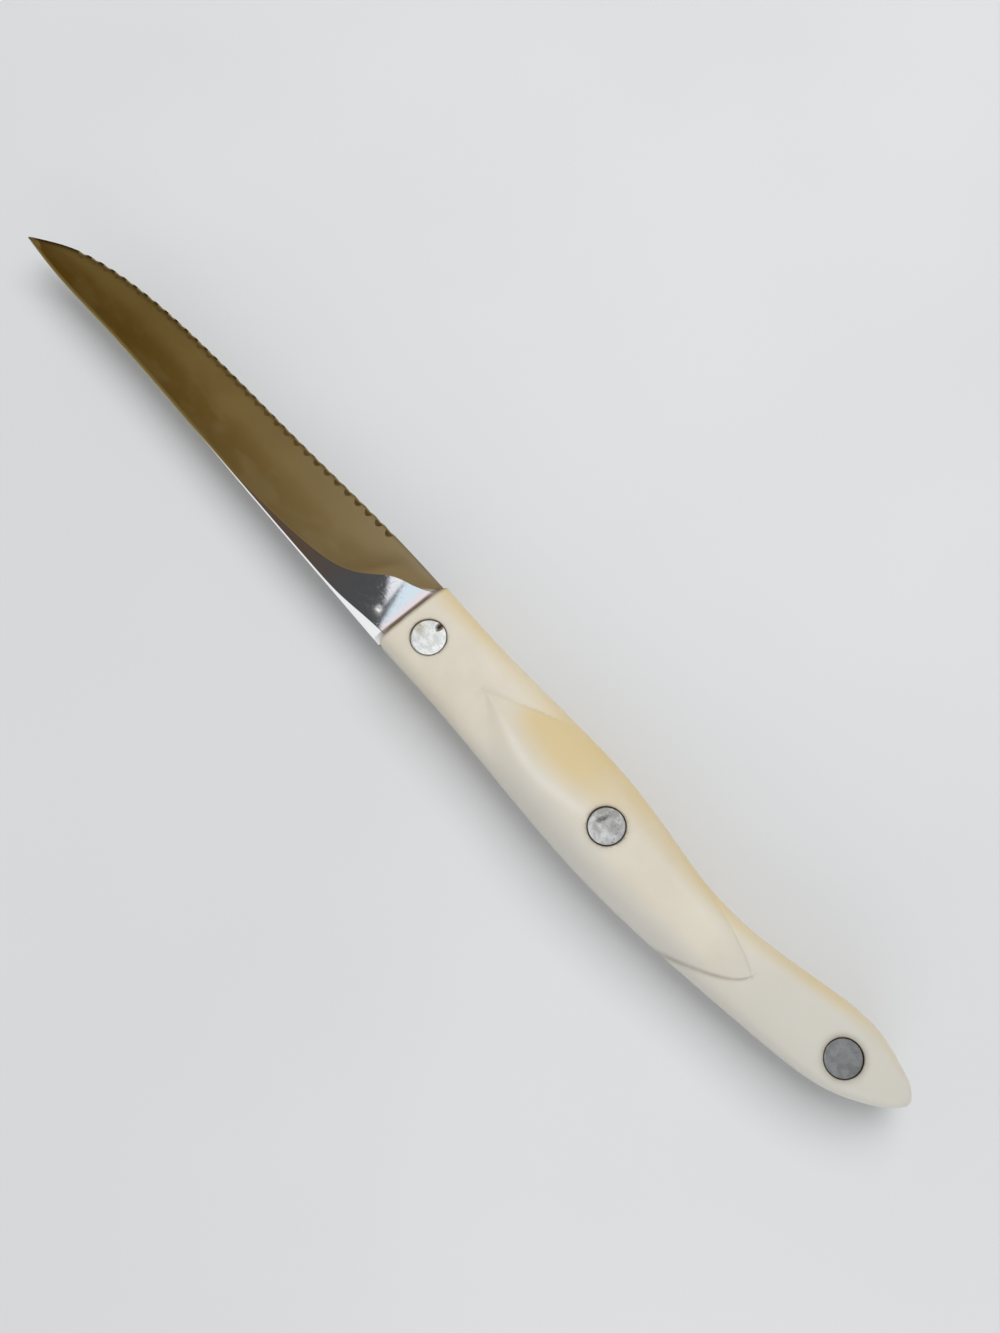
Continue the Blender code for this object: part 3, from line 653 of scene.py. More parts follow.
def grow(piece, tree, values):
    """Runs a Geometry Nodes tree on the piece with its inputs set, and keeps the result as a plain mesh."""
    modifier = piece.modifiers.new(tree.name, "NODES")
    modifier.node_group = tree
    inputs = [socket for socket in tree.interface.items_tree if socket.in_out == "INPUT"]
    sockets = {socket.name: socket.identifier for socket in inputs}
    for name, value in values.items():
        modifier[sockets[name]] = value
    return baked(piece)


def finished(tree, geometry, material):
    """Ends a Geometry Nodes tree: instances are made real and the material is set."""
    real = made(tree, "GeometryNodeRealizeInstances", {"Geometry": geometry})
    dressed = made(tree, "GeometryNodeSetMaterial", {"Geometry": real, "Material": material})
    add(tree, "NodeGroupOutput", {0: dressed})
    return tree


def serration_tree():
    """Leaning oval pencils along a blade's edge, each set square to the edge where it grinds its notch."""
    tree, given = node_group("edge_serrations", (
        ("First Notch", "NodeSocketVector"), ("Pitch", "NodeSocketFloat"), ("Count", "NodeSocketInt"),
        ("Pencil Radius", "NodeSocketFloat"), ("Pencil Oval", "NodeSocketFloat"),
        ("Pencil Length", "NodeSocketFloat"), ("Reach", "NodeSocketFloat"), ("Lift", "NodeSocketFloat"),
        ("Lean", "NodeSocketFloat"), ("Notch Steel", "NodeSocketMaterial")))
    step = triple(tree, X=given["Pitch"])
    line = made(tree, "GeometryNodeMeshLine", {
        "Count": given["Count"], "Start Location": given["First Notch"], "Offset": step})
    hit = add(tree, "GeometryNodeRaycast", {
        "Target Geometry": given["Geometry"], "Ray Direction": (0.0, 1.0, 0.0), "Ray Length": 1.0}).outputs
    inward = vectors(tree, "SCALE", hit["Hit Normal"], scale=-1.0)
    leaning = vectors(tree, "SCALE", inward, scale=maths(tree, "SINE", given["Lean"]))
    axis = vectors(tree, "ADD", leaning, triple(tree, Z=maths(tree, "COSINE", given["Lean"])))
    upended = made(tree, "FunctionNodeAlignRotationToVector", {"Vector": axis}, axis="Z")
    turn = made(tree, "FunctionNodeAlignRotationToVector", {
        "Rotation": upended, "Vector": (1.0, 0.0, 0.0)}, axis="X", pivot_axis="Z")
    reach = vectors(tree, "SCALE", inward, scale=given["Reach"])
    shift = vectors(tree, "ADD", reach, triple(tree, Z=given["Lift"]))
    middle = vectors(tree, "ADD", hit["Hit Position"], shift)
    turned = made(tree, "GeometryNodeStoreNamedAttribute", {
        "Geometry": line, "Name": "turn", "Value": turn}, data_type="QUATERNION", domain="POINT")
    placed = made(tree, "GeometryNodeSetPosition", {"Geometry": turned, "Position": middle})
    kept_turn = made(tree, "GeometryNodeInputNamedAttribute", {"Name": "turn"}, data_type="QUATERNION")
    pencil = made(tree, "GeometryNodeMeshCylinder", {
        "Vertices": PENCIL_SIDES, "Radius": given["Pencil Radius"], "Depth": given["Pencil Length"]})
    oval = triple(tree, X=given["Pencil Oval"], Y=1.0, Z=1.0)
    pencils = made(tree, "GeometryNodeInstanceOnPoints", {
        "Points": placed, "Instance": pencil, "Rotation": kept_turn, "Scale": oval})
    return finished(tree, pencils, given["Notch Steel"])


def turning_tree():
    """A lathe: turns the (radius, 0, height) points of the geometry about a z axis at Place.

    Points marked as ground follow the slope and the bend of the surface that they are ground flush with.
    """
    tree, given = node_group("turned_on_a_lathe", (
        ("Points", "NodeSocketInt"), ("Sides", "NodeSocketInt"), ("Place", "NodeSocketVector"),
        ("Slope", "NodeSocketVector"), ("Bend", "NodeSocketVector"), ("Metal", "NodeSocketMaterial")))
    columns = maths(tree, "ADD", given["Sides"], 1.0)
    grid = made(tree, "GeometryNodeMeshGrid", {"Vertices X": columns, "Vertices Y": given["Points"]})
    index = made(tree, "GeometryNodeInputIndex")
    column = maths(tree, "FLOOR", maths(tree, "DIVIDE", maths(tree, "ADD", index, 0.5), given["Points"]))
    row = maths(tree, "SUBTRACT", index, times(tree, column, given["Points"]))
    place = made(tree, "GeometryNodeInputPosition")
    ground = made(tree, "GeometryNodeInputNamedAttribute", {"Name": "ground"}, data_type="FLOAT")
    profile = made(tree, "GeometryNodeSampleIndex", {
        "Geometry": given["Geometry"], "Value": place, "Index": row}, data_type="FLOAT_VECTOR")
    follows = made(tree, "GeometryNodeSampleIndex", {
        "Geometry": given["Geometry"], "Value": ground, "Index": row}, data_type="FLOAT")
    parts = add(tree, "ShaderNodeSeparateXYZ", {0: profile}).outputs
    angle = times(tree, maths(tree, "DIVIDE", column, given["Sides"]), math.tau)
    across = times(tree, parts["X"], maths(tree, "COSINE", angle))
    along = times(tree, parts["X"], maths(tree, "SINE", angle))
    flat = triple(tree, X=across, Y=along)
    sloped = measured(tree, "DOT_PRODUCT", flat, given["Slope"])
    bent = measured(tree, "DOT_PRODUCT", vectors(tree, "MULTIPLY", flat, flat), given["Bend"])
    rise = maths(tree, "ADD", sloped, bent)
    height = maths(tree, "ADD", parts["Z"], times(tree, rise, follows))
    spot = triple(tree, X=across, Y=along, Z=height)
    moved = vectors(tree, "ADD", spot, given["Place"])
    turned = made(tree, "GeometryNodeSetPosition", {"Geometry": grid, "Position": moved})
    closed = made(tree, "GeometryNodeMergeByDistance", {"Geometry": turned, "Distance": MERGE_DISTANCE})
    return finished(tree, closed, given["Metal"])


# Finishes


def new_material(name):
    """A material's node tree, its Principled shader and its Object coordinates."""
    material = bpy.data.materials.new(name)
    material.use_nodes = True
    tree = material.node_tree
    shader = tree.nodes["Principled BSDF"]
    coords = add(tree, "ShaderNodeTexCoord").outputs["Object"]
    return material, tree, shader, coords


def noise(tree, coords, scale, detail=3.0, stretch=None, turn=0.0):
    """A Noise Texture's value; stretch squeezes the pattern along an axis by that factor."""
    if stretch:
        coords = made(tree, "ShaderNodeMapping", {
            "Vector": coords, "Scale": stretch, "Rotation": (0.0, 0.0, turn)})
    return made(tree, "ShaderNodeTexNoise", {"Vector": coords, "Scale": scale, "Detail": detail})


def between(tree, value, low, high, to_low=0.0, to_high=1.0):
    """The value carried smoothly from low..high to the other range."""
    return made(tree, "ShaderNodeMapRange", {
        "Value": value, "From Min": low, "From Max": high, "To Min": to_low, "To Max": to_high},
        interpolation_type="SMOOTHSTEP")


def mixed(tree, share, first, second):
    """Two colours mixed by a share."""
    first, second = [(*value, 1.0) if isinstance(value, tuple) else value for value in (first, second)]
    return add(tree, "ShaderNodeMix", {0: share, 6: first, 7: second}, data_type="RGBA").outputs[2]


def attribute(tree, name):
    return add(tree, "ShaderNodeAttribute", attribute_name=name).outputs["Fac"]


def bump(tree, height, depth):
    """A normal for relief from a height pattern that is depth metres deep."""
    return made(tree, "ShaderNodeBump", {"Height": height, "Strength": 1.0, "Distance": depth})


def ivory_finish():
    """Old ivory-coloured resin: cream, yellowed to the edge, greyer to the rear, with painted shade along the
    spine outline, a painted highlight on the crest, and grime and painted shade in its creases.
    """
    material, tree, shader, coords = new_material("ivory_resin_worn_and_painted_light")
    broad = noise(tree, coords, 70.0)
    cloudy = noise(tree, coords, 260.0, 4.0)
    fine = noise(tree, coords, 1500.0, 2.0)
    cream = mixed(tree, between(tree, broad, 0.3, 0.7), *CREAM)
    cream = mixed(tree, between(tree, cloudy, 0.4, 0.8, 0.0, 0.4), cream, WARM_CREAM)
    # greyer to the rear, and painted shade along the spine outline
    colour = mixed(tree, attribute(tree, "greyed"), cream, GREY_RESIN)
    yellowed = times(tree, attribute(tree, "yellowed"), between(tree, broad, 0.2, 0.6, 0.65, 1.0))
    colour = mixed(tree, yellowed, colour, YELLOW_RESIN)
    # a painted highlight along the leaf's crest
    colour = mixed(tree, attribute(tree, "crest_highlight"), colour, CREST_HIGHLIGHT_TONE)
    # the grime layer also holds painted shade in the creases and around the rivets
    grime = times(tree, attribute(tree, "grime"), between(tree, cloudy, 0.2, 0.7, 0.55, 1.0))
    relief = maths(tree, "ADD", cloudy, times(tree, fine, 0.25))
    fill(shader, {
        "Base Color": mixed(tree, grime, colour, RESIN_GRIME_AND_SHADE),
        "Roughness": between(tree, cloudy, 0.3, 0.7, 0.29, 0.39),
        "Normal": bump(tree, relief, RESIN_RELIEF),
        "Subsurface Weight": 0.12,
        "Subsurface Radius": (1.0, 0.7, 0.4),
        "Subsurface Scale": RESIN_DEPTH,
    })
    return material


def steel_finish():
    """Polished steel: a bright, finely speckled flat, and a hollow with the wheel's lines and a warm film."""
    material, tree, shader, coords = new_material("steel_polished")
    smudges = noise(tree, coords, 120.0, 4.0)
    patches = noise(tree, coords, 150.0, 3.0, stretch=(0.6, 1.3, 1.0))
    lines = noise(tree, coords, 900.0, 2.0, stretch=(6.0, 0.25, 1.0))
    speckles = noise(tree, coords, 2400.0, 3.0)
    scratches = noise(tree, coords, 700.0, 3.0, stretch=(0.12, 5.0, 1.0), turn=0.2)
    hollow = attribute(tree, "hollow")
    film = times(tree, hollow, between(tree, smudges, 0.3, 0.7, 0.5, 1.0))
    colour = mixed(tree, film, BARE_STEEL, FILMED_STEEL)
    stained = times(tree, attribute(tree, "stained"), between(tree, patches, 0.34, 0.54, 0.25, 1.0))
    colour = mixed(tree, stained, colour, STAINED_STEEL)
    polished = between(tree, speckles, 0.48, 0.7, 0.02, 0.06)
    ground = between(tree, smudges, 0.35, 0.75, 0.11, 0.15)
    relief = maths(tree, "ADD", times(tree, lines, hollow), times(tree, scratches, 0.3))
    fill(shader, {
        "Base Color": mixed(tree, attribute(tree, "grime"), colour, STEEL_GRIME),
        "Roughness": made(tree, "ShaderNodeMix", {0: hollow, 2: polished, 3: ground}),
        "Normal": bump(tree, relief, STEEL_RELIEF),
        "Metallic": 1.0,
    })
    return material


def notch_finish():
    """The ground notches, dull and dark brown, lighter at the cutting edge."""
    material, tree, shader, coords = new_material("steel_notch")
    stains = noise(tree, coords, 1100.0, 3.0)
    lines = noise(tree, coords, 3000.0, 2.0, stretch=(3.0, 0.3, 0.3))
    deep = mixed(tree, between(tree, stains, 0.35, 0.65), *NOTCH_DARK)
    fill(shader, {
        "Base Color": mixed(tree, between(tree, attribute(tree, "inward"), 0.14, 0.34), NOTCH_EDGE_TONE, deep),
        "Roughness": between(tree, stains, 0.3, 0.7, 0.4, 0.6),
        "Normal": bump(tree, lines, NOTCH_RELIEF),
        "Specular IOR Level": 0.2,
    })
    return material


def rivet_finish(name):
    """Ground nickel silver: mottled, stained in places, pitted and scratched, in the rivet's own tones, which
    are partly painted light.
    """
    bright, dull, stain, roughness, pitted = RIVET_TONES[name]
    material, tree, shader, coords = new_material(f"nickel_silver_{name}")
    mottle = noise(tree, coords, 700.0, 4.0)
    grains = noise(tree, coords, 2600.0, 2.0)
    scratches = noise(tree, coords, 900.0, 2.0, stretch=(0.25, 6.0, 1.0), turn=0.6)
    colour = mixed(tree, between(tree, mottle, 0.35, 0.65), dull, bright)
    stained = times(tree, attribute(tree, "stained"), between(tree, grains, 0.3, 0.6, 0.5, 1.0))
    colour = mixed(tree, stained, colour, stain)
    pits = times(tree, between(tree, grains, 0.56, 0.7), pitted)
    dark = maths(tree, "MAXIMUM", pits, attribute(tree, "holed"))
    relief = maths(tree, "SUBTRACT", times(tree, scratches, 0.6), pits)
    fill(shader, {
        "Base Color": mixed(tree, dark, colour, RIVET_PITS),
        "Roughness": between(tree, mottle, 0.3, 0.7, roughness + 0.08, roughness),
        "Normal": bump(tree, relief, RIVET_RELIEF),
        "Metallic": 1.0,
    })
    return material


# The blade


def spine_half_thickness(x):
    """Half the steel's thickness above the grind."""
    share = max(0.0, x - TAPER_START) / (BLADE_LENGTH - TAPER_START)
    return (STOCK + (TIP_STOCK - STOCK) * share) / 2


def blade_heights(x):
    """Heights across the blade at x: the spine, the foot of its bevel, the grind line and the edge."""
    top = blade_spine(x)
    edge = blade_edge(x)
    land = min(SPINE_LAND, (top - edge) / 2)
    ground_from = top - land - grind_depth(min(x, GRIND_END))
    bevel = min(spine_bevel(min(x, BEVEL_END)), BEVEL_SHARE * (top - ground_from))
    return top, top - bevel, ground_from, edge


def soft_rows(first, last, count):
    """Rows from first to last with one more close to each end, so that an edge turns within SOFT_EDGE."""
    near = math.copysign(min(SOFT_EDGE, abs(last - first) / 4), last - first)
    return [first] + spaced(first + near, last - near, count) + [last]


def blade_section(x):
    """The blade's ring at x: the right face from the spine's bevel to the edge, then the left face back."""
    top, bevel_foot, ground_from, edge = blade_heights(x)
    full = spine_half_thickness(x)
    thin = min(EDGE_THICKNESS / 2, full)
    face = [(y, full - BEVEL_SLOPE * (y - bevel_foot)) for y in soft_rows(top, bevel_foot, BEVEL_ROWS)]
    face += [(y, full) for y in soft_rows(bevel_foot, ground_from, FLAT_ROWS)[1:-1]]
    for y in soft_rows(ground_from, edge, HOLLOW_ROWS):
        share = (y - edge) / (ground_from - edge)
        ground = HOLLOW_WEDGE * share + (1.0 - HOLLOW_WEDGE) * share**HOLLOW
        face.append((y, thin + (full - thin) * ground))
    return ring_of(x, face)


def tang_section(x, rows):
    """The tang's ring at x, flat on both faces."""
    top = outline_spine(x) - TANG_INSET
    edge = outline_edge(x) + TANG_INSET
    return ring_of(x, [(y, STOCK / 2) for y in spaced(top, edge, rows)])


def ring_of(x, face):
    """One ring from a face of (y, half thickness) and its mirror, leaning with the handle's front."""
    right = [(lean(x, y) if x < LEAN_FADE else x, y, z) for y, z in face]
    return right + [(a, y, -z) for a, y, z in reversed(right)]


def blade_stations():
    """Where the blade is sampled: close together over the plunge and the tip."""
    plunge = spaced(SHOULDER_GAP, GRIND_END, PLUNGE_SECTIONS)
    tip_start = BLADE_LENGTH * (1.0 - TIP_SHARE)
    middle = spaced(GRIND_END, tip_start, MIDDLE_SECTIONS)
    left = [(1.0 - share) ** TIP_CROWDING for share in spaced(0.0, 1.0, TIP_SECTIONS)]
    tip = [BLADE_LENGTH - (BLADE_LENGTH - tip_start) * share for share in left]
    return plunge + middle[1:] + tip[1:]


def in_hollow(x, y, z):
    """1 in the hollow grind, 0 on the flat, the bevel and the tang."""
    if x < 0.0:
        return 0.0
    return clamped((blade_heights(min(x, BLADE_LENGTH))[2] - y) / SOFT_EDGE)


def blade_stain(x, y, z):
    """Brown stain in the hollow, most towards the spine and away from the handle."""
    if x < 0.0:
        return 0.0
    _, _, ground_from, edge = blade_heights(min(x, BLADE_LENGTH))
    spineward = clamped((y - edge) / max(ground_from - edge, SOFT_EDGE))
    least, gain = STAIN
    strength = least + gain * rising(x, *STAIN_TIP_RISE)
    strength *= rising(spineward, *STAIN_SPINE_RISE) * rising(x, *STAIN_START_RISE)
    return in_hollow(x, y, z) * strength


def blade_grime(x, y, z):
    """Grime on the steel: at the joint with the handle, and along the cutting edge, most towards the tip."""
    from_edge = y - blade_edge(min(max(x, 0.0), BLADE_LENGTH))
    from_end = min(from_edge, blade_spine(0.0) - y)
    least, gain = JOINT_GRIME
    joint = near_line(max(x - lean(0.0, y) - JOINT_WIDTH, 0.0), JOINT_BLUR)
    joint *= least + gain * rising(from_end, *JOINT_GRIME_RISE)
    tipward = rising(x, *STAIN_TIP_RISE)
    least, gain = EDGE_GRIME
    width, widening = EDGE_GRIME_WIDTH
    edge = (least + gain * tipward) * near_line(from_edge, width + widening * tipward)
    return max(joint, edge)


def notch_depth(x, y, z):
    """0 at the cutting edge, 1 where a notch runs out on the face."""
    return clamped((y - blade_edge(min(max(x, 0.0), BLADE_LENGTH))) / SERRATION_DEPTH)


def make_blade():
    """Tang, ricasso, hollow-ground blade and the row of notches."""
    forged = [blade_section(x) for x in blade_stations()]
    tang_end = TANG_END_GAP - HANDLE_LENGTH
    tang = [tang_section(x, len(forged[0]) // 2) for x in spaced(tang_end, SHOULDER_GAP / 2, TANG_SECTIONS)]
    blade = make_piece("blade_steel", mesh_of("blade_steel", skin(tang + forged)))
    blade.data.materials.append(steel_finish())
    hole = TUBE_DIAMETER / 2 + RIVET_CLEARANCE
    through = ((hole, -STOCK), (hole, STOCK))
    cut_away(blade, [rivet_cutter(f"{name}_tang_hole", x, y, through) for name, x, y, _ in RIVETS])
    half_length = PENCIL_RADIUS * math.tan(SERRATION_TILT) + CUTTER_EXCESS
    pencils = grow(make_piece("serration_pencils", blade.data.copy()), serration_tree(), {
        "First Notch": ORIGIN + Vector((SERRATION_START, -RAY_START, 0.0)),
        "Pitch": SERRATION_PITCH,
        "Count": int((BLADE_LENGTH - SERRATION_STOP - SERRATION_START) / SERRATION_PITCH) + 1,
        "Pencil Radius": PENCIL_RADIUS,
        "Pencil Oval": (SERRATION_PITCH - PENCIL_GAP) / 2 / PENCIL_RADIUS,
        "Pencil Length": 2 * half_length,
        "Reach": SERRATION_DEPTH - PENCIL_RADIUS / math.cos(SERRATION_TILT),
        "Lift": EDGE_THICKNESS / 2,
        "Lean": SERRATION_TILT,
        "Notch Steel": notch_finish(),
    })
    cut_away(blade, [pencils])
    crisp_seams(blade)
    for layer, law in (
            ("hollow", in_hollow), ("stained", blade_stain), ("grime", blade_grime), ("inward", notch_depth)):
        paint(blade, layer, law)
    return blade


# The handle


def crease_across(x, side):
    """Where a crease crosses station x: 0 is the handle's middle, 1 its outline."""
    outside = max(x - CROWN_FRONT[0], CROWN_REAR[0] - x)
    if outside < 0.0:
        limit = CREASE_LIMIT
        width = side * ((leaf_spine(x) if side > 0 else leaf_edge(x)) - leaf_middle(x))
    else:
        limit = FAN_LIMIT
        width = FAN * outside
    offset = side * (leaf_middle(x) - handle_middle(x)) + max(width, PINCH)
    return min(max(offset / handle_half_height(x), -limit), limit)


def scale_section(x, shrink=0.0):
    """The outer curve of a scale at x, from the spine outline over to the edge outline."""
    power = squareness(x)
    middle = handle_middle(x)
    half = handle_half_height(x) - shrink

    def angle(across):
        return math.acos(math.copysign(abs(across) ** (power / 2), across))

    spine_crease = angle(crease_across(x, 1.0))
    edge_crease = angle(-crease_across(x, -1.0))
    angles = spaced(0.0, spine_crease, SIDE_STEPS + 1)
    angles += spaced(spine_crease, edge_crease, CROWN_STEPS + 1)[1:]
    angles += spaced(edge_crease, math.pi, SIDE_STEPS + 1)[1:]
    points = []
    for a in angles:
        across = math.copysign(abs(math.cos(a)) ** (2 / power), math.cos(a))
        height = handle_surface(x, middle + across * handle_half_height(x)) - shrink
        y = middle + across * half
        points.append((lean(x, y), y, max(height, SEAM / 2)))
    points[0] = (*points[0][:2], SEAM / 2)
    points[-1] = (*points[-1][:2], SEAM / 2)
    return points


def scale_stations():
    """Where a scale is sampled: close together at the leaf's points and over the rounded butt."""
    front = spaced(-FRONT_CHAMFER, CROWN_FRONT[0], FRONT_SECTIONS)[1:]
    reach = CROWN_FRONT[0] - CROWN_REAR[0]
    turns = spaced(0.0, math.pi, LEAF_SECTIONS + 1)[1:]
    leaf = [CROWN_FRONT[0] - reach * (1 - math.cos(turn)) / 2 for turn in turns]
    round_start = BUTT_ROUND - HANDLE_LENGTH
    rear = spaced(CROWN_REAR[0], round_start, REAR_SECTIONS)[1:]
    turns = spaced(0.0, BUTT_TURN, BUTT_SECTIONS + 1)[1:]
    butt = [round_start - BUTT_ROUND * math.sin(turn) for turn in turns]
    return front + leaf + rear + butt


def scale_sections():
    """All the rings of the right scale, from its rounded front edge to the butt."""
    sections = [scale_section(0.0, FRONT_CHAMFER + inset) for inset in FACE_INSETS]
    for turn in spaced(0.0, math.pi / 2, ROUND_SECTIONS):
        back = FRONT_CHAMFER * (1.0 - math.cos(turn))
        sections.append(scale_section(-back, FRONT_CHAMFER * (1.0 - math.sin(turn))))
    return sections + [scale_section(x) for x in scale_stations()]


def tang_pocket():
    """The tang's outline with clearance, open at the handle's front."""
    tang_end = TANG_END_GAP - HANDLE_LENGTH
    stations = [tang_end - POCKET_CLEARANCE] + spaced(tang_end, CUTTER_EXCESS, TANG_SECTIONS)
    half = STOCK / 2 + POCKET_CLEARANCE
    sections = []
    for x in stations:
        inside = min(max(x, tang_end), 0.0)
        top = outline_spine(inside) - TANG_INSET + POCKET_CLEARANCE
        edge = outline_edge(inside) + TANG_INSET - POCKET_CLEARANCE
        sections.append([(x, top, half), (x, edge, half), (x, edge, -half), (x, top, -half)])
    return make_piece("tang_pocket", mesh_of("tang_pocket", skin(sections)))


def seat_height(x, y, sunk):
    """Underside of a rivet's head above the middle of the steel."""
    return handle_surface(x, y) - sunk - HEAD_THICKNESS


def rivet_cutter(name, x, y, profile):
    """A stack of round cutters at a rivet's place, from (radius, height) points."""
    sections = []
    for radius, height in profile:
        turns = spaced(0.0, math.tau, BORE_SIDES + 1)[:-1]
        sections.append([(x + radius * math.cos(a), y + radius * math.sin(a), height) for a in turns])
    return make_piece(name, mesh_of(name, skin(sections)))


def rivet_bore(rivet, side):
    """Counterbore for the head and hole for the tube, through one scale."""
    name, x, y, sunk = rivet
    head = HEAD_DIAMETER / 2 + RING_GAP[name]
    tube = TUBE_DIAMETER / 2 + RIVET_CLEARANCE
    seat = seat_height(x, y, sunk) - RIVET_CLEARANCE
    above = seat + HEAD_THICKNESS + CUTTER_EXCESS
    profile = ((tube, 0.0), (tube, side * seat), (head, side * seat), (head, side * above))
    return rivet_cutter(f"{name}_bore", x, y, profile)


def across_handle(x, y):
    """-1 at the edge outline, 1 at the spine outline."""
    butt_cap = BUTT_ROUND * (1.0 - math.sin(BUTT_TURN)) - HANDLE_LENGTH
    inside = min(max(x, butt_cap), 0.0)
    return min(max((y - handle_middle(inside)) / handle_half_height(inside), -1.0), 1.0)


def edge_yellow(x, y):
    """Yellowing along the edge outline: strong at the front and the swell, weak in between."""
    inside = min(max(x, -HANDLE_LENGTH), 0.0)
    start = yellow_from(inside)
    return clamped(yellow_strength(inside)) * eased((-across_handle(x, y) - start) / (1.0 - start))


def facet_yellow(x, y):
    """Yellowing inside the front of the leaf, from its crest down to its crease."""
    behind = CROWN_FRONT[0] - x
    if min(behind, x - CROWN_REAR[0]) <= 0.0 or y < leaf_edge(x):
        return 0.0
    along = rising(behind, *FACET_RISE) * (1.0 - rising(behind, *FACET_FALL))
    return FACET_YELLOW * along * eased((crest_line(x) - y) / FACET_WIDTH)


def yellowing(x, y, z):
    return max(edge_yellow(x, y), facet_yellow(x, y))


def grey_and_spine_shade(x, y, z):
    """How grey the resin is: behind the swell, and along the spine outline beside it, where the grey is
    painted shade.
    """
    behind = -x / HANDLE_LENGTH
    spine_shade = rising(across_handle(x, y), *SPINE_SHADE_RISE_ACROSS) * rising(behind, *SPINE_SHADE_RISE_ALONG)
    return GREYED * max(rising(behind, *GREYED_RISE), spine_shade)


def painted_crest_highlight(x, y, z):
    """Painted highlight along the crest of the leaf, at its front half."""
    behind = CROWN_FRONT[0] - x
    if behind <= 0.0:
        return 0.0
    along = rising(behind, *CREST_HIGHLIGHT_RISE) * (1.0 - rising(behind, *CREST_HIGHLIGHT_FALL))
    return CREST_HIGHLIGHT * along * near_line(y - crest_line(x), CREST_HIGHLIGHT_WIDTH)


def crease_grime_and_shade(x, y):
    """Grime and painted shade along the leaf's creases, most on the spine side of its rear point."""
    ahead = x - CROWN_REAR[0]
    behind = CROWN_FRONT[0] - x
    if min(ahead, behind) <= CREASE_GRIME_AND_SHADE_RISE[0]:
        return 0.0
    most = 0.0
    creases = ((leaf_spine, ahead), (leaf_edge, ahead), (leaf_edge, behind))
    for (crease, along), (strength, width, fall) in zip(creases, CREASE_GRIME_AND_SHADE):
        line = strength * near_line(y - crease(x), width)
        most = max(most, line * (1.0 - rising(along, *fall)))
    return most * rising(ahead, *CREASE_GRIME_AND_SHADE_RISE)


def rivet_grime_and_shade(x, y):
    """Grime packed around the rivets' heads, with a soft halo of grime and painted shade."""
    most = 0.0
    strength, width = RING_GRIME
    for name, rivet_x, rivet_y, _ in RIVETS:
        out = max(math.hypot(x - rivet_x, y - rivet_y) - HEAD_DIAMETER / 2 - RING_GAP[name], 0.0)
        most = max(most, strength * near_line(out, width), HALO_GRIME_AND_SHADE[name] * near_line(out, HALO_WIDTH))
    return most


def radius_out(y, z):
    """How far out a point of the front face lies: 1 at the section's rim."""
    across = abs(y - handle_middle(0.0)) / handle_half_height(0.0)
    up = abs(z) / flat_half_thickness(0.0)
    power = squareness(0.0)
    return (across**power + up**power) ** (1.0 / power)


def scale_grime_and_shade(x, y, z):
    """All the grime on a scale, and painted shade in its creases and around its rivets: creases, rivets, the
    joint with the blade and the seam.
    """
    least, gain = FRONT_GRIME
    joint = near_line(lean(0.0, y) - x, FRONT_GRIME_WIDTH)
    joint *= least + gain * rising(radius_out(y, z), *FRONT_RIM_RISE)
    joint *= 1.0 - CORNER_CLEAN * rising(across_handle(x, y), *CORNER_RISE)
    strength, width = SEAM_GRIME
    seam = strength * near_line(abs(z), width)
    return clamped(max(crease_grime_and_shade(x, y), rivet_grime_and_shade(x, y), joint, seam))


def make_scale(name, side, sections, finish):
    """One half of the handle, pocketed and bored; side is 1 for the right, -1 for the left."""
    body = skin([[(x, y, side * z) for x, y, z in section] for section in sections])
    scale = make_piece(name, mesh_of(name, body))
    scale.data.materials.append(finish)
    cut_away(scale, [tang_pocket()] + [rivet_bore(rivet, side) for rivet in RIVETS])
    # yellowing, grey with painted shade by the spine, a painted crest highlight, and grime with painted shade
    for layer, law in (("yellowed", yellowing), ("greyed", grey_and_spine_shade), ("crest_highlight", painted_crest_highlight), ("grime", scale_grime_and_shade)):
        paint(scale, layer, law)
    shade(scale)
    return scale


# The rivets


def ground_slope(x, y):
    """Slope and bend of the resin's surface at a rivet, along x and y."""
    step = SLOPE_STEP
    here = handle_surface(x, y)
    ahead, behind = handle_surface(x + step, y), handle_surface(x - step, y)
    up, down = handle_surface(x, y + step), handle_surface(x, y - step)
    slope = Vector(((ahead - behind) / (2 * step), (up - down) / (2 * step), 0.0))
    bend = Vector(((ahead + behind - 2 * here) / (2 * step**2), (up + down - 2 * here) / (2 * step**2), 0.0))
    return slope, bend


def head_points(top, side):
    """A head's profile from the rim's underside up to its centre: (radius, height, ground or not)."""
    radius = HEAD_DIAMETER / 2
    points = [(radius, side * (top - HEAD_THICKNESS), 0.0)]
    for turn in spaced(0.0, math.pi / 2, HEAD_BEVEL_POINTS):
        in_by = HEAD_BEVEL * (1.0 - math.cos(turn))
        points.append((radius - in_by, side * (top - HEAD_BEVEL * (1.0 - math.sin(turn))), 1.0))
    for share in spaced(1.0, 0.0, HEAD_RINGS)[1:]:
        points.append(((radius - HEAD_BEVEL) * share, side * top, 1.0))
    return points


def rivet_profile(top, side):
    """Half section of a rivet: a pin with its head on the right, or a tube with its head on the left."""
    seat = top - HEAD_THICKNESS
    pin = PIN_DIAMETER / 2
    tube = TUBE_DIAMETER / 2
    if side > 0:
        end = END_CLEARANCE - seat
        shank = [(0.0, end, 0.0), (pin, end, 0.0), (pin, seat, 0.0)]
    else:
        bore = pin + RIVET_CLEARANCE
        end = seat - END_CLEARANCE
        inside = [(0.0, -seat, 0.0), (bore, -seat, 0.0), (bore, end, 0.0)]
        shank = inside + [(tube, end, 0.0), (tube, -seat, 0.0)]
    return shank + head_points(top, side)


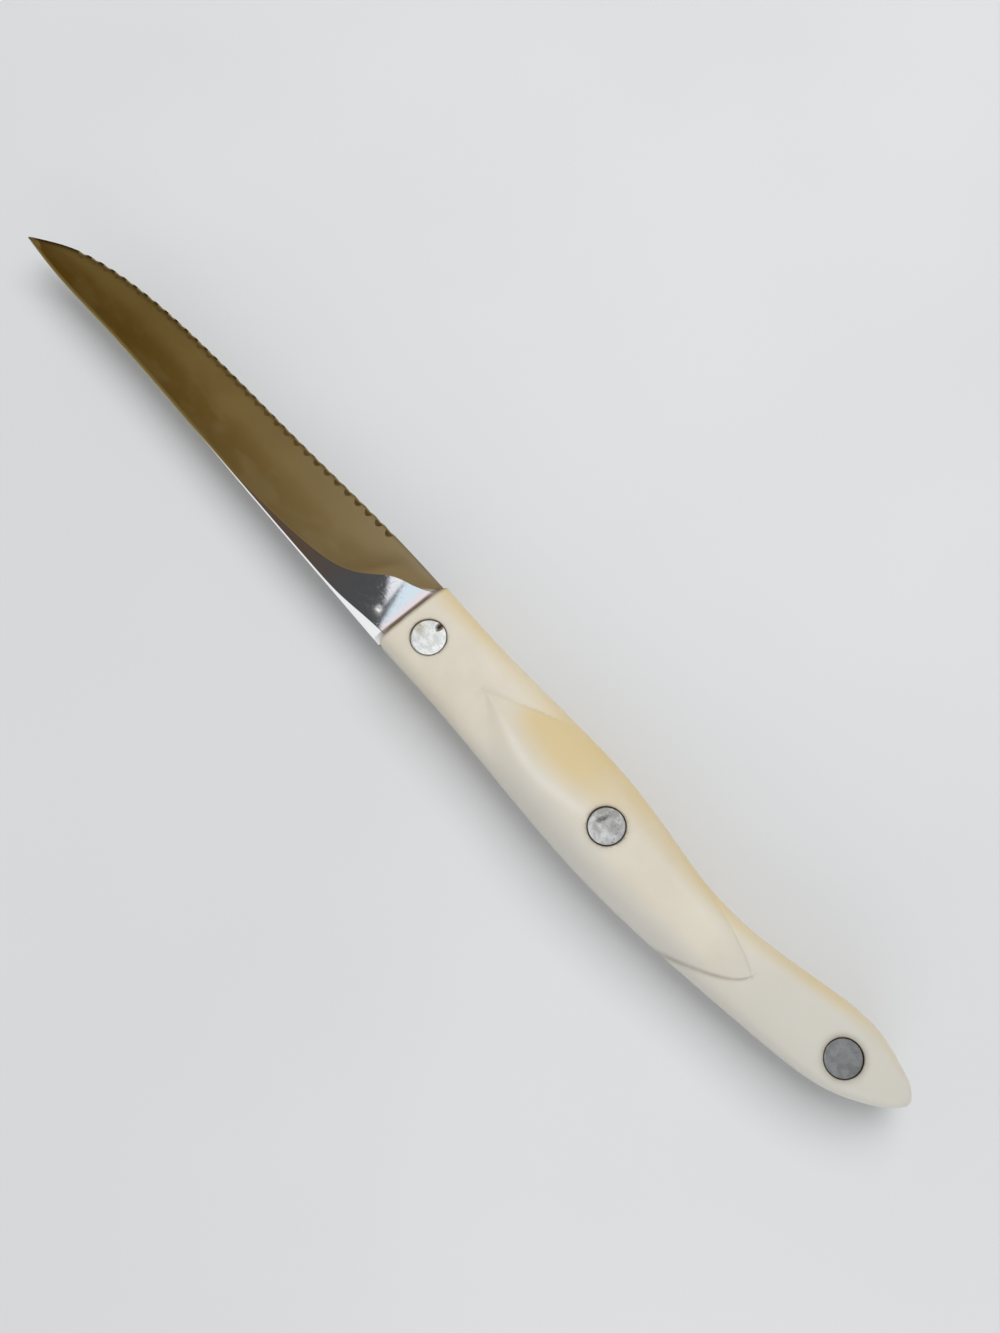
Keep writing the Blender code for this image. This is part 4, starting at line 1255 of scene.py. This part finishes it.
def make_rivet(name, rivet, side, lathe, finish):
    """One half of a rivet, turned on the lathe and ground flush with the resin."""
    _, x, y, sunk = rivet
    profile = rivet_profile(handle_surface(x, y) - sunk, side)
    mesh = bpy.data.meshes.new(name)
    mesh.from_pydata([(radius, 0.0, height) for radius, height, _ in profile], [], [])
    layer = mesh.attributes.new("ground", "FLOAT", "POINT")
    layer.data.foreach_set("value", [ground for _, _, ground in profile])
    slope, bend = ground_slope(x, y)
    piece = grow(make_piece(name, mesh), lathe, {
        "Points": len(profile),
        "Sides": RIVET_SIDES,
        "Place": ORIGIN + Vector((x, y, 0.0)),
        "Slope": slope * side,
        "Bend": bend * side,
        "Metal": finish,
    })
    turn_outward(piece)
    mark_head(piece, rivet, side)
    shade(piece)
    return piece


def mark_strength(mark, x, y):
    """1 in the middle of an oval mark, dying out around it."""
    mark_x, mark_y, half_length, half_width, turn = mark
    along = (x - mark_x) * math.cos(turn) + (y - mark_y) * math.sin(turn)
    across = (y - mark_y) * math.cos(turn) - (x - mark_x) * math.sin(turn)
    return math.exp(-((along / half_length) ** 2 + (across / half_width) ** 2) ** 2)


def mark_head(piece, rivet, side):
    """Stains a rivet's head, and dents the front one where the photo shows a hole."""
    name, rivet_x, rivet_y, sunk = rivet
    lowest = handle_surface(rivet_x, rivet_y) - sunk - HEAD_THICKNESS / 2
    holed = name == "front" and side > 0

    def hole(x, y, z):
        return mark_strength(PIT, x - rivet_x, y - rivet_y) if holed and z > lowest else 0.0

    def stain(x, y, z):
        return mark_strength(STAINS[name], x - rivet_x, y - rivet_y)

    paint(piece, "holed", hole)
    paint(piece, "stained", stain)
    for vertex in piece.data.vertices:
        vertex.co.z -= PIT_DEPTH * hole(*(vertex.co - ORIGIN))


def turn_outward(piece):
    """Faces of a closed piece turned to point outwards."""
    body = bmesh.new()
    body.from_mesh(piece.data)
    bmesh.ops.recalc_face_normals(body, faces=body.faces[:])
    body.to_mesh(piece.data)
    body.free()


# The studio


def make_floor():
    """A plain pale floor under the knife, fading into the background far off."""
    body = bmesh.new()
    bmesh.ops.create_grid(body, x_segments=1, y_segments=1, size=FLOOR_SIZE)
    mesh = bpy.data.meshes.new("floor")
    body.to_mesh(mesh)
    body.free()
    floor = make_piece("floor", mesh)
    floor.location.z = -FLOOR_DROP
    material, tree, shader, coords = new_material("floor_pale")
    tone = mixed(tree, between(tree, noise(tree, coords, 6.0), 0.3, 0.7), *FLOOR_TONES)
    fill(shader, {"Base Color": tone, "Roughness": 0.9})
    far = between(tree, measured(tree, "LENGTH", coords), *FLOOR_FADE)
    faded = times(tree, far, add(tree, "ShaderNodeLightPath").outputs["Is Camera Ray"])
    distance = made(tree, "ShaderNodeEmission", {"Color": (*BACKGROUND, 1.0)})
    blend = made(tree, "ShaderNodeMixShader", {0: faded, 1: shader.outputs[0], 2: distance})
    fill(tree.nodes["Material Output"], {"Surface": blend})
    mesh.materials.append(material)


def make_camera():
    """The camera where the photo was taken from."""
    data = bpy.data.cameras.new("camera")
    data.sensor_fit = "HORIZONTAL"
    data.sensor_width = CAMERA_SENSOR
    data.lens = CAMERA_LENS
    data.clip_start = CAMERA_CLIP
    camera = make_piece("camera", data)
    right = Vector(CAMERA_RIGHT).normalized()
    back = -Vector(CAMERA_FORWARD).normalized()
    up = back.cross(right)
    turn = Matrix((right, up, back)).transposed().to_4x4()
    camera.matrix_world = Matrix.Translation(ORIGIN + Vector(CAMERA_PLACE)) @ turn
    bpy.context.scene.camera = camera


def make_lamp(name, place, size, power):
    """A soft square lamp that looks at the knife; what metal mirrors comes from the surroundings alone."""
    data = bpy.data.lights.new(name, "AREA")
    data.size = size
    data.energy = power
    lamp = make_piece(name, data)
    lamp.visible_glossy = False
    lamp.location = place
    lamp.rotation_euler = Vector(place).to_track_quat("Z", "Y").to_euler()


def make_surroundings():
    """Even light all around; in polished metal, a room with a bright window and an olive-brown ceiling."""
    world = bpy.data.worlds.new("studio")
    bpy.context.scene.world = world
    world.use_nodes = True
    tree = world.node_tree
    direction = add(tree, "ShaderNodeTexCoord").outputs["Generated"]
    parts = add(tree, "ShaderNodeSeparateXYZ", {0: direction}).outputs
    room = mirrored_room(tree, direction, parts["X"], parts["Y"])
    room = banded(tree, parts["Z"], HORIZON, (*HORIZON_END, room))
    paths = add(tree, "ShaderNodeLightPath").outputs
    light = mixed(tree, paths["Is Glossy Ray"], EVEN_LIGHT, room)
    fill(tree.nodes["Background"], {"Color": mixed(tree, paths["Is Camera Ray"], light, BACKGROUND)})


def banded(tree, value, colour, *bands):
    """A colour that turns into the next one within each band (from, to, colour) of a value."""
    for low, high, following in bands:
        colour = mixed(tree, between(tree, value, low, high), colour, following)
    return colour


def slanted(tree, value, other, slope):
    """A value that a line of this slope keeps level."""
    return maths(tree, "ADD", value, times(tree, other, slope))


def mirrored_room(tree, direction, along, across):
    """A window with a wall in shade beside it, a bare lamp in front and the ceiling below them."""
    ripple = maths(tree, "SUBTRACT", noise(tree, direction, RIPPLE_SCALE), 0.5)
    ceiling = olive_ceiling(tree, along, slanted(tree, across, ripple, RIPPLE))
    window = window_panes(tree, along, across)
    beyond = banded(tree, across, banded(tree, along, *BRIGHT_WALL), (*BRIGHT_WALL_TOP, REAR_WALL))
    above = banded(tree, across, banded(tree, along, *SHADED_WALL), (*SHADED_WALL_TOP, beyond))
    slope, *side = WINDOW_SIDE
    upper = banded(tree, slanted(tree, along, across, slope), window, (*side, above))
    lower = banded(tree, along, window, (*WINDOW_END, ceiling))
    room = banded(tree, across, lower, (*WINDOW_TOP, upper))
    return banded(tree, off_bulb(tree, along, across), BULB_LIGHT, (*BULB_EDGE, room))


def off_bulb(tree, along, across):
    """How far a direction lies from the bare lamp."""
    lengthways = maths(tree, "SUBTRACT", along, BULB[0])
    sideways = maths(tree, "SUBTRACT", across, BULB[1])
    return measured(tree, "LENGTH", triple(tree, X=lengthways, Y=sideways))


def window_panes(tree, along, across):
    """A bright window: a white pane, a bar, a pale blue pane, a rosy reveal, and a dimmer wall beyond."""
    panes = BLUE_PANE
    for (slope, *side), following in ((BAR_SIDE, WINDOW_BAR), (BAR_FAR_SIDE, WHITE_PANE)):
        panes = banded(tree, slanted(tree, along, across, slope), panes, (*side, following))
    reveal = banded(tree, along, banded(tree, along, *REVEAL), (*REVEAL_END, panes))
    wall = mixed(tree, glow(tree, along, across), banded(tree, along, *DIM_WALL), GLOW)
    return banded(tree, along, wall, (*DIM_WALL_END, reveal))


def glow(tree, along, across):
    """1 inside the second window, soft at its sides."""
    inside = 1.0
    for value, middle, edge in zip((along, across), GLOW_MIDDLE, (GLOW_EDGE_ALONG, GLOW_EDGE_ACROSS)):
        out = maths(tree, "ABSOLUTE", maths(tree, "SUBTRACT", value, middle))
        inside = times(tree, inside, between(tree, out, *edge, 1.0, 0.0))
    return inside


def olive_ceiling(tree, along, across):
    """Khaki near the window, olive further off, brown and dark towards the walls."""
    near = banded(tree, along, *NEAR_CEILING)
    far = banded(tree, along, *FAR_CEILING)
    slope, *side = FAR_CEILING_SIDE
    ceiling = banded(tree, slanted(tree, across, along, slope), far, (*side, near))
    ceiling = banded(tree, across, KHAKI, (*KHAKI_END, ceiling))
    return banded(tree, across, DARK_CORNER, (*DARK_CORNER_END, ceiling))


def main():
    make_camera()
    make_floor()
    make_surroundings()
    for name, setting in LAMPS.items():
        make_lamp(name, *setting)
    blade = make_blade()
    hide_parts("blade")
    ivory = ivory_finish()
    sections = scale_sections()
    dressed = [(blade, "steel")]
    for name, side in (("right", 1.0), ("left", -1.0)):
        scale = make_scale(f"{name}_scale_resin", side, sections, ivory)
        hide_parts(f"{name}_scale")
        dressed.append((scale, "ivory_resin"))
    lathe = turning_tree()
    finishes = {name: rivet_finish(name) for name in RIVET_TONES}
    for rivet in RIVETS:
        for half, side in (("male", 1.0), ("female", -1.0)):
            node = f"{rivet[0]}_rivet_{half}"
            piece = make_rivet(f"{node}_metal", rivet, side, lathe, finishes[rivet[0]])
            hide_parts(node)
            dressed.append((piece, "nickel_silver"))
    for piece, slot in dressed:
        keep_inside(piece)
        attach(piece, "root")
    bpy.context.scene.view_settings.view_transform = "Standard"


main()
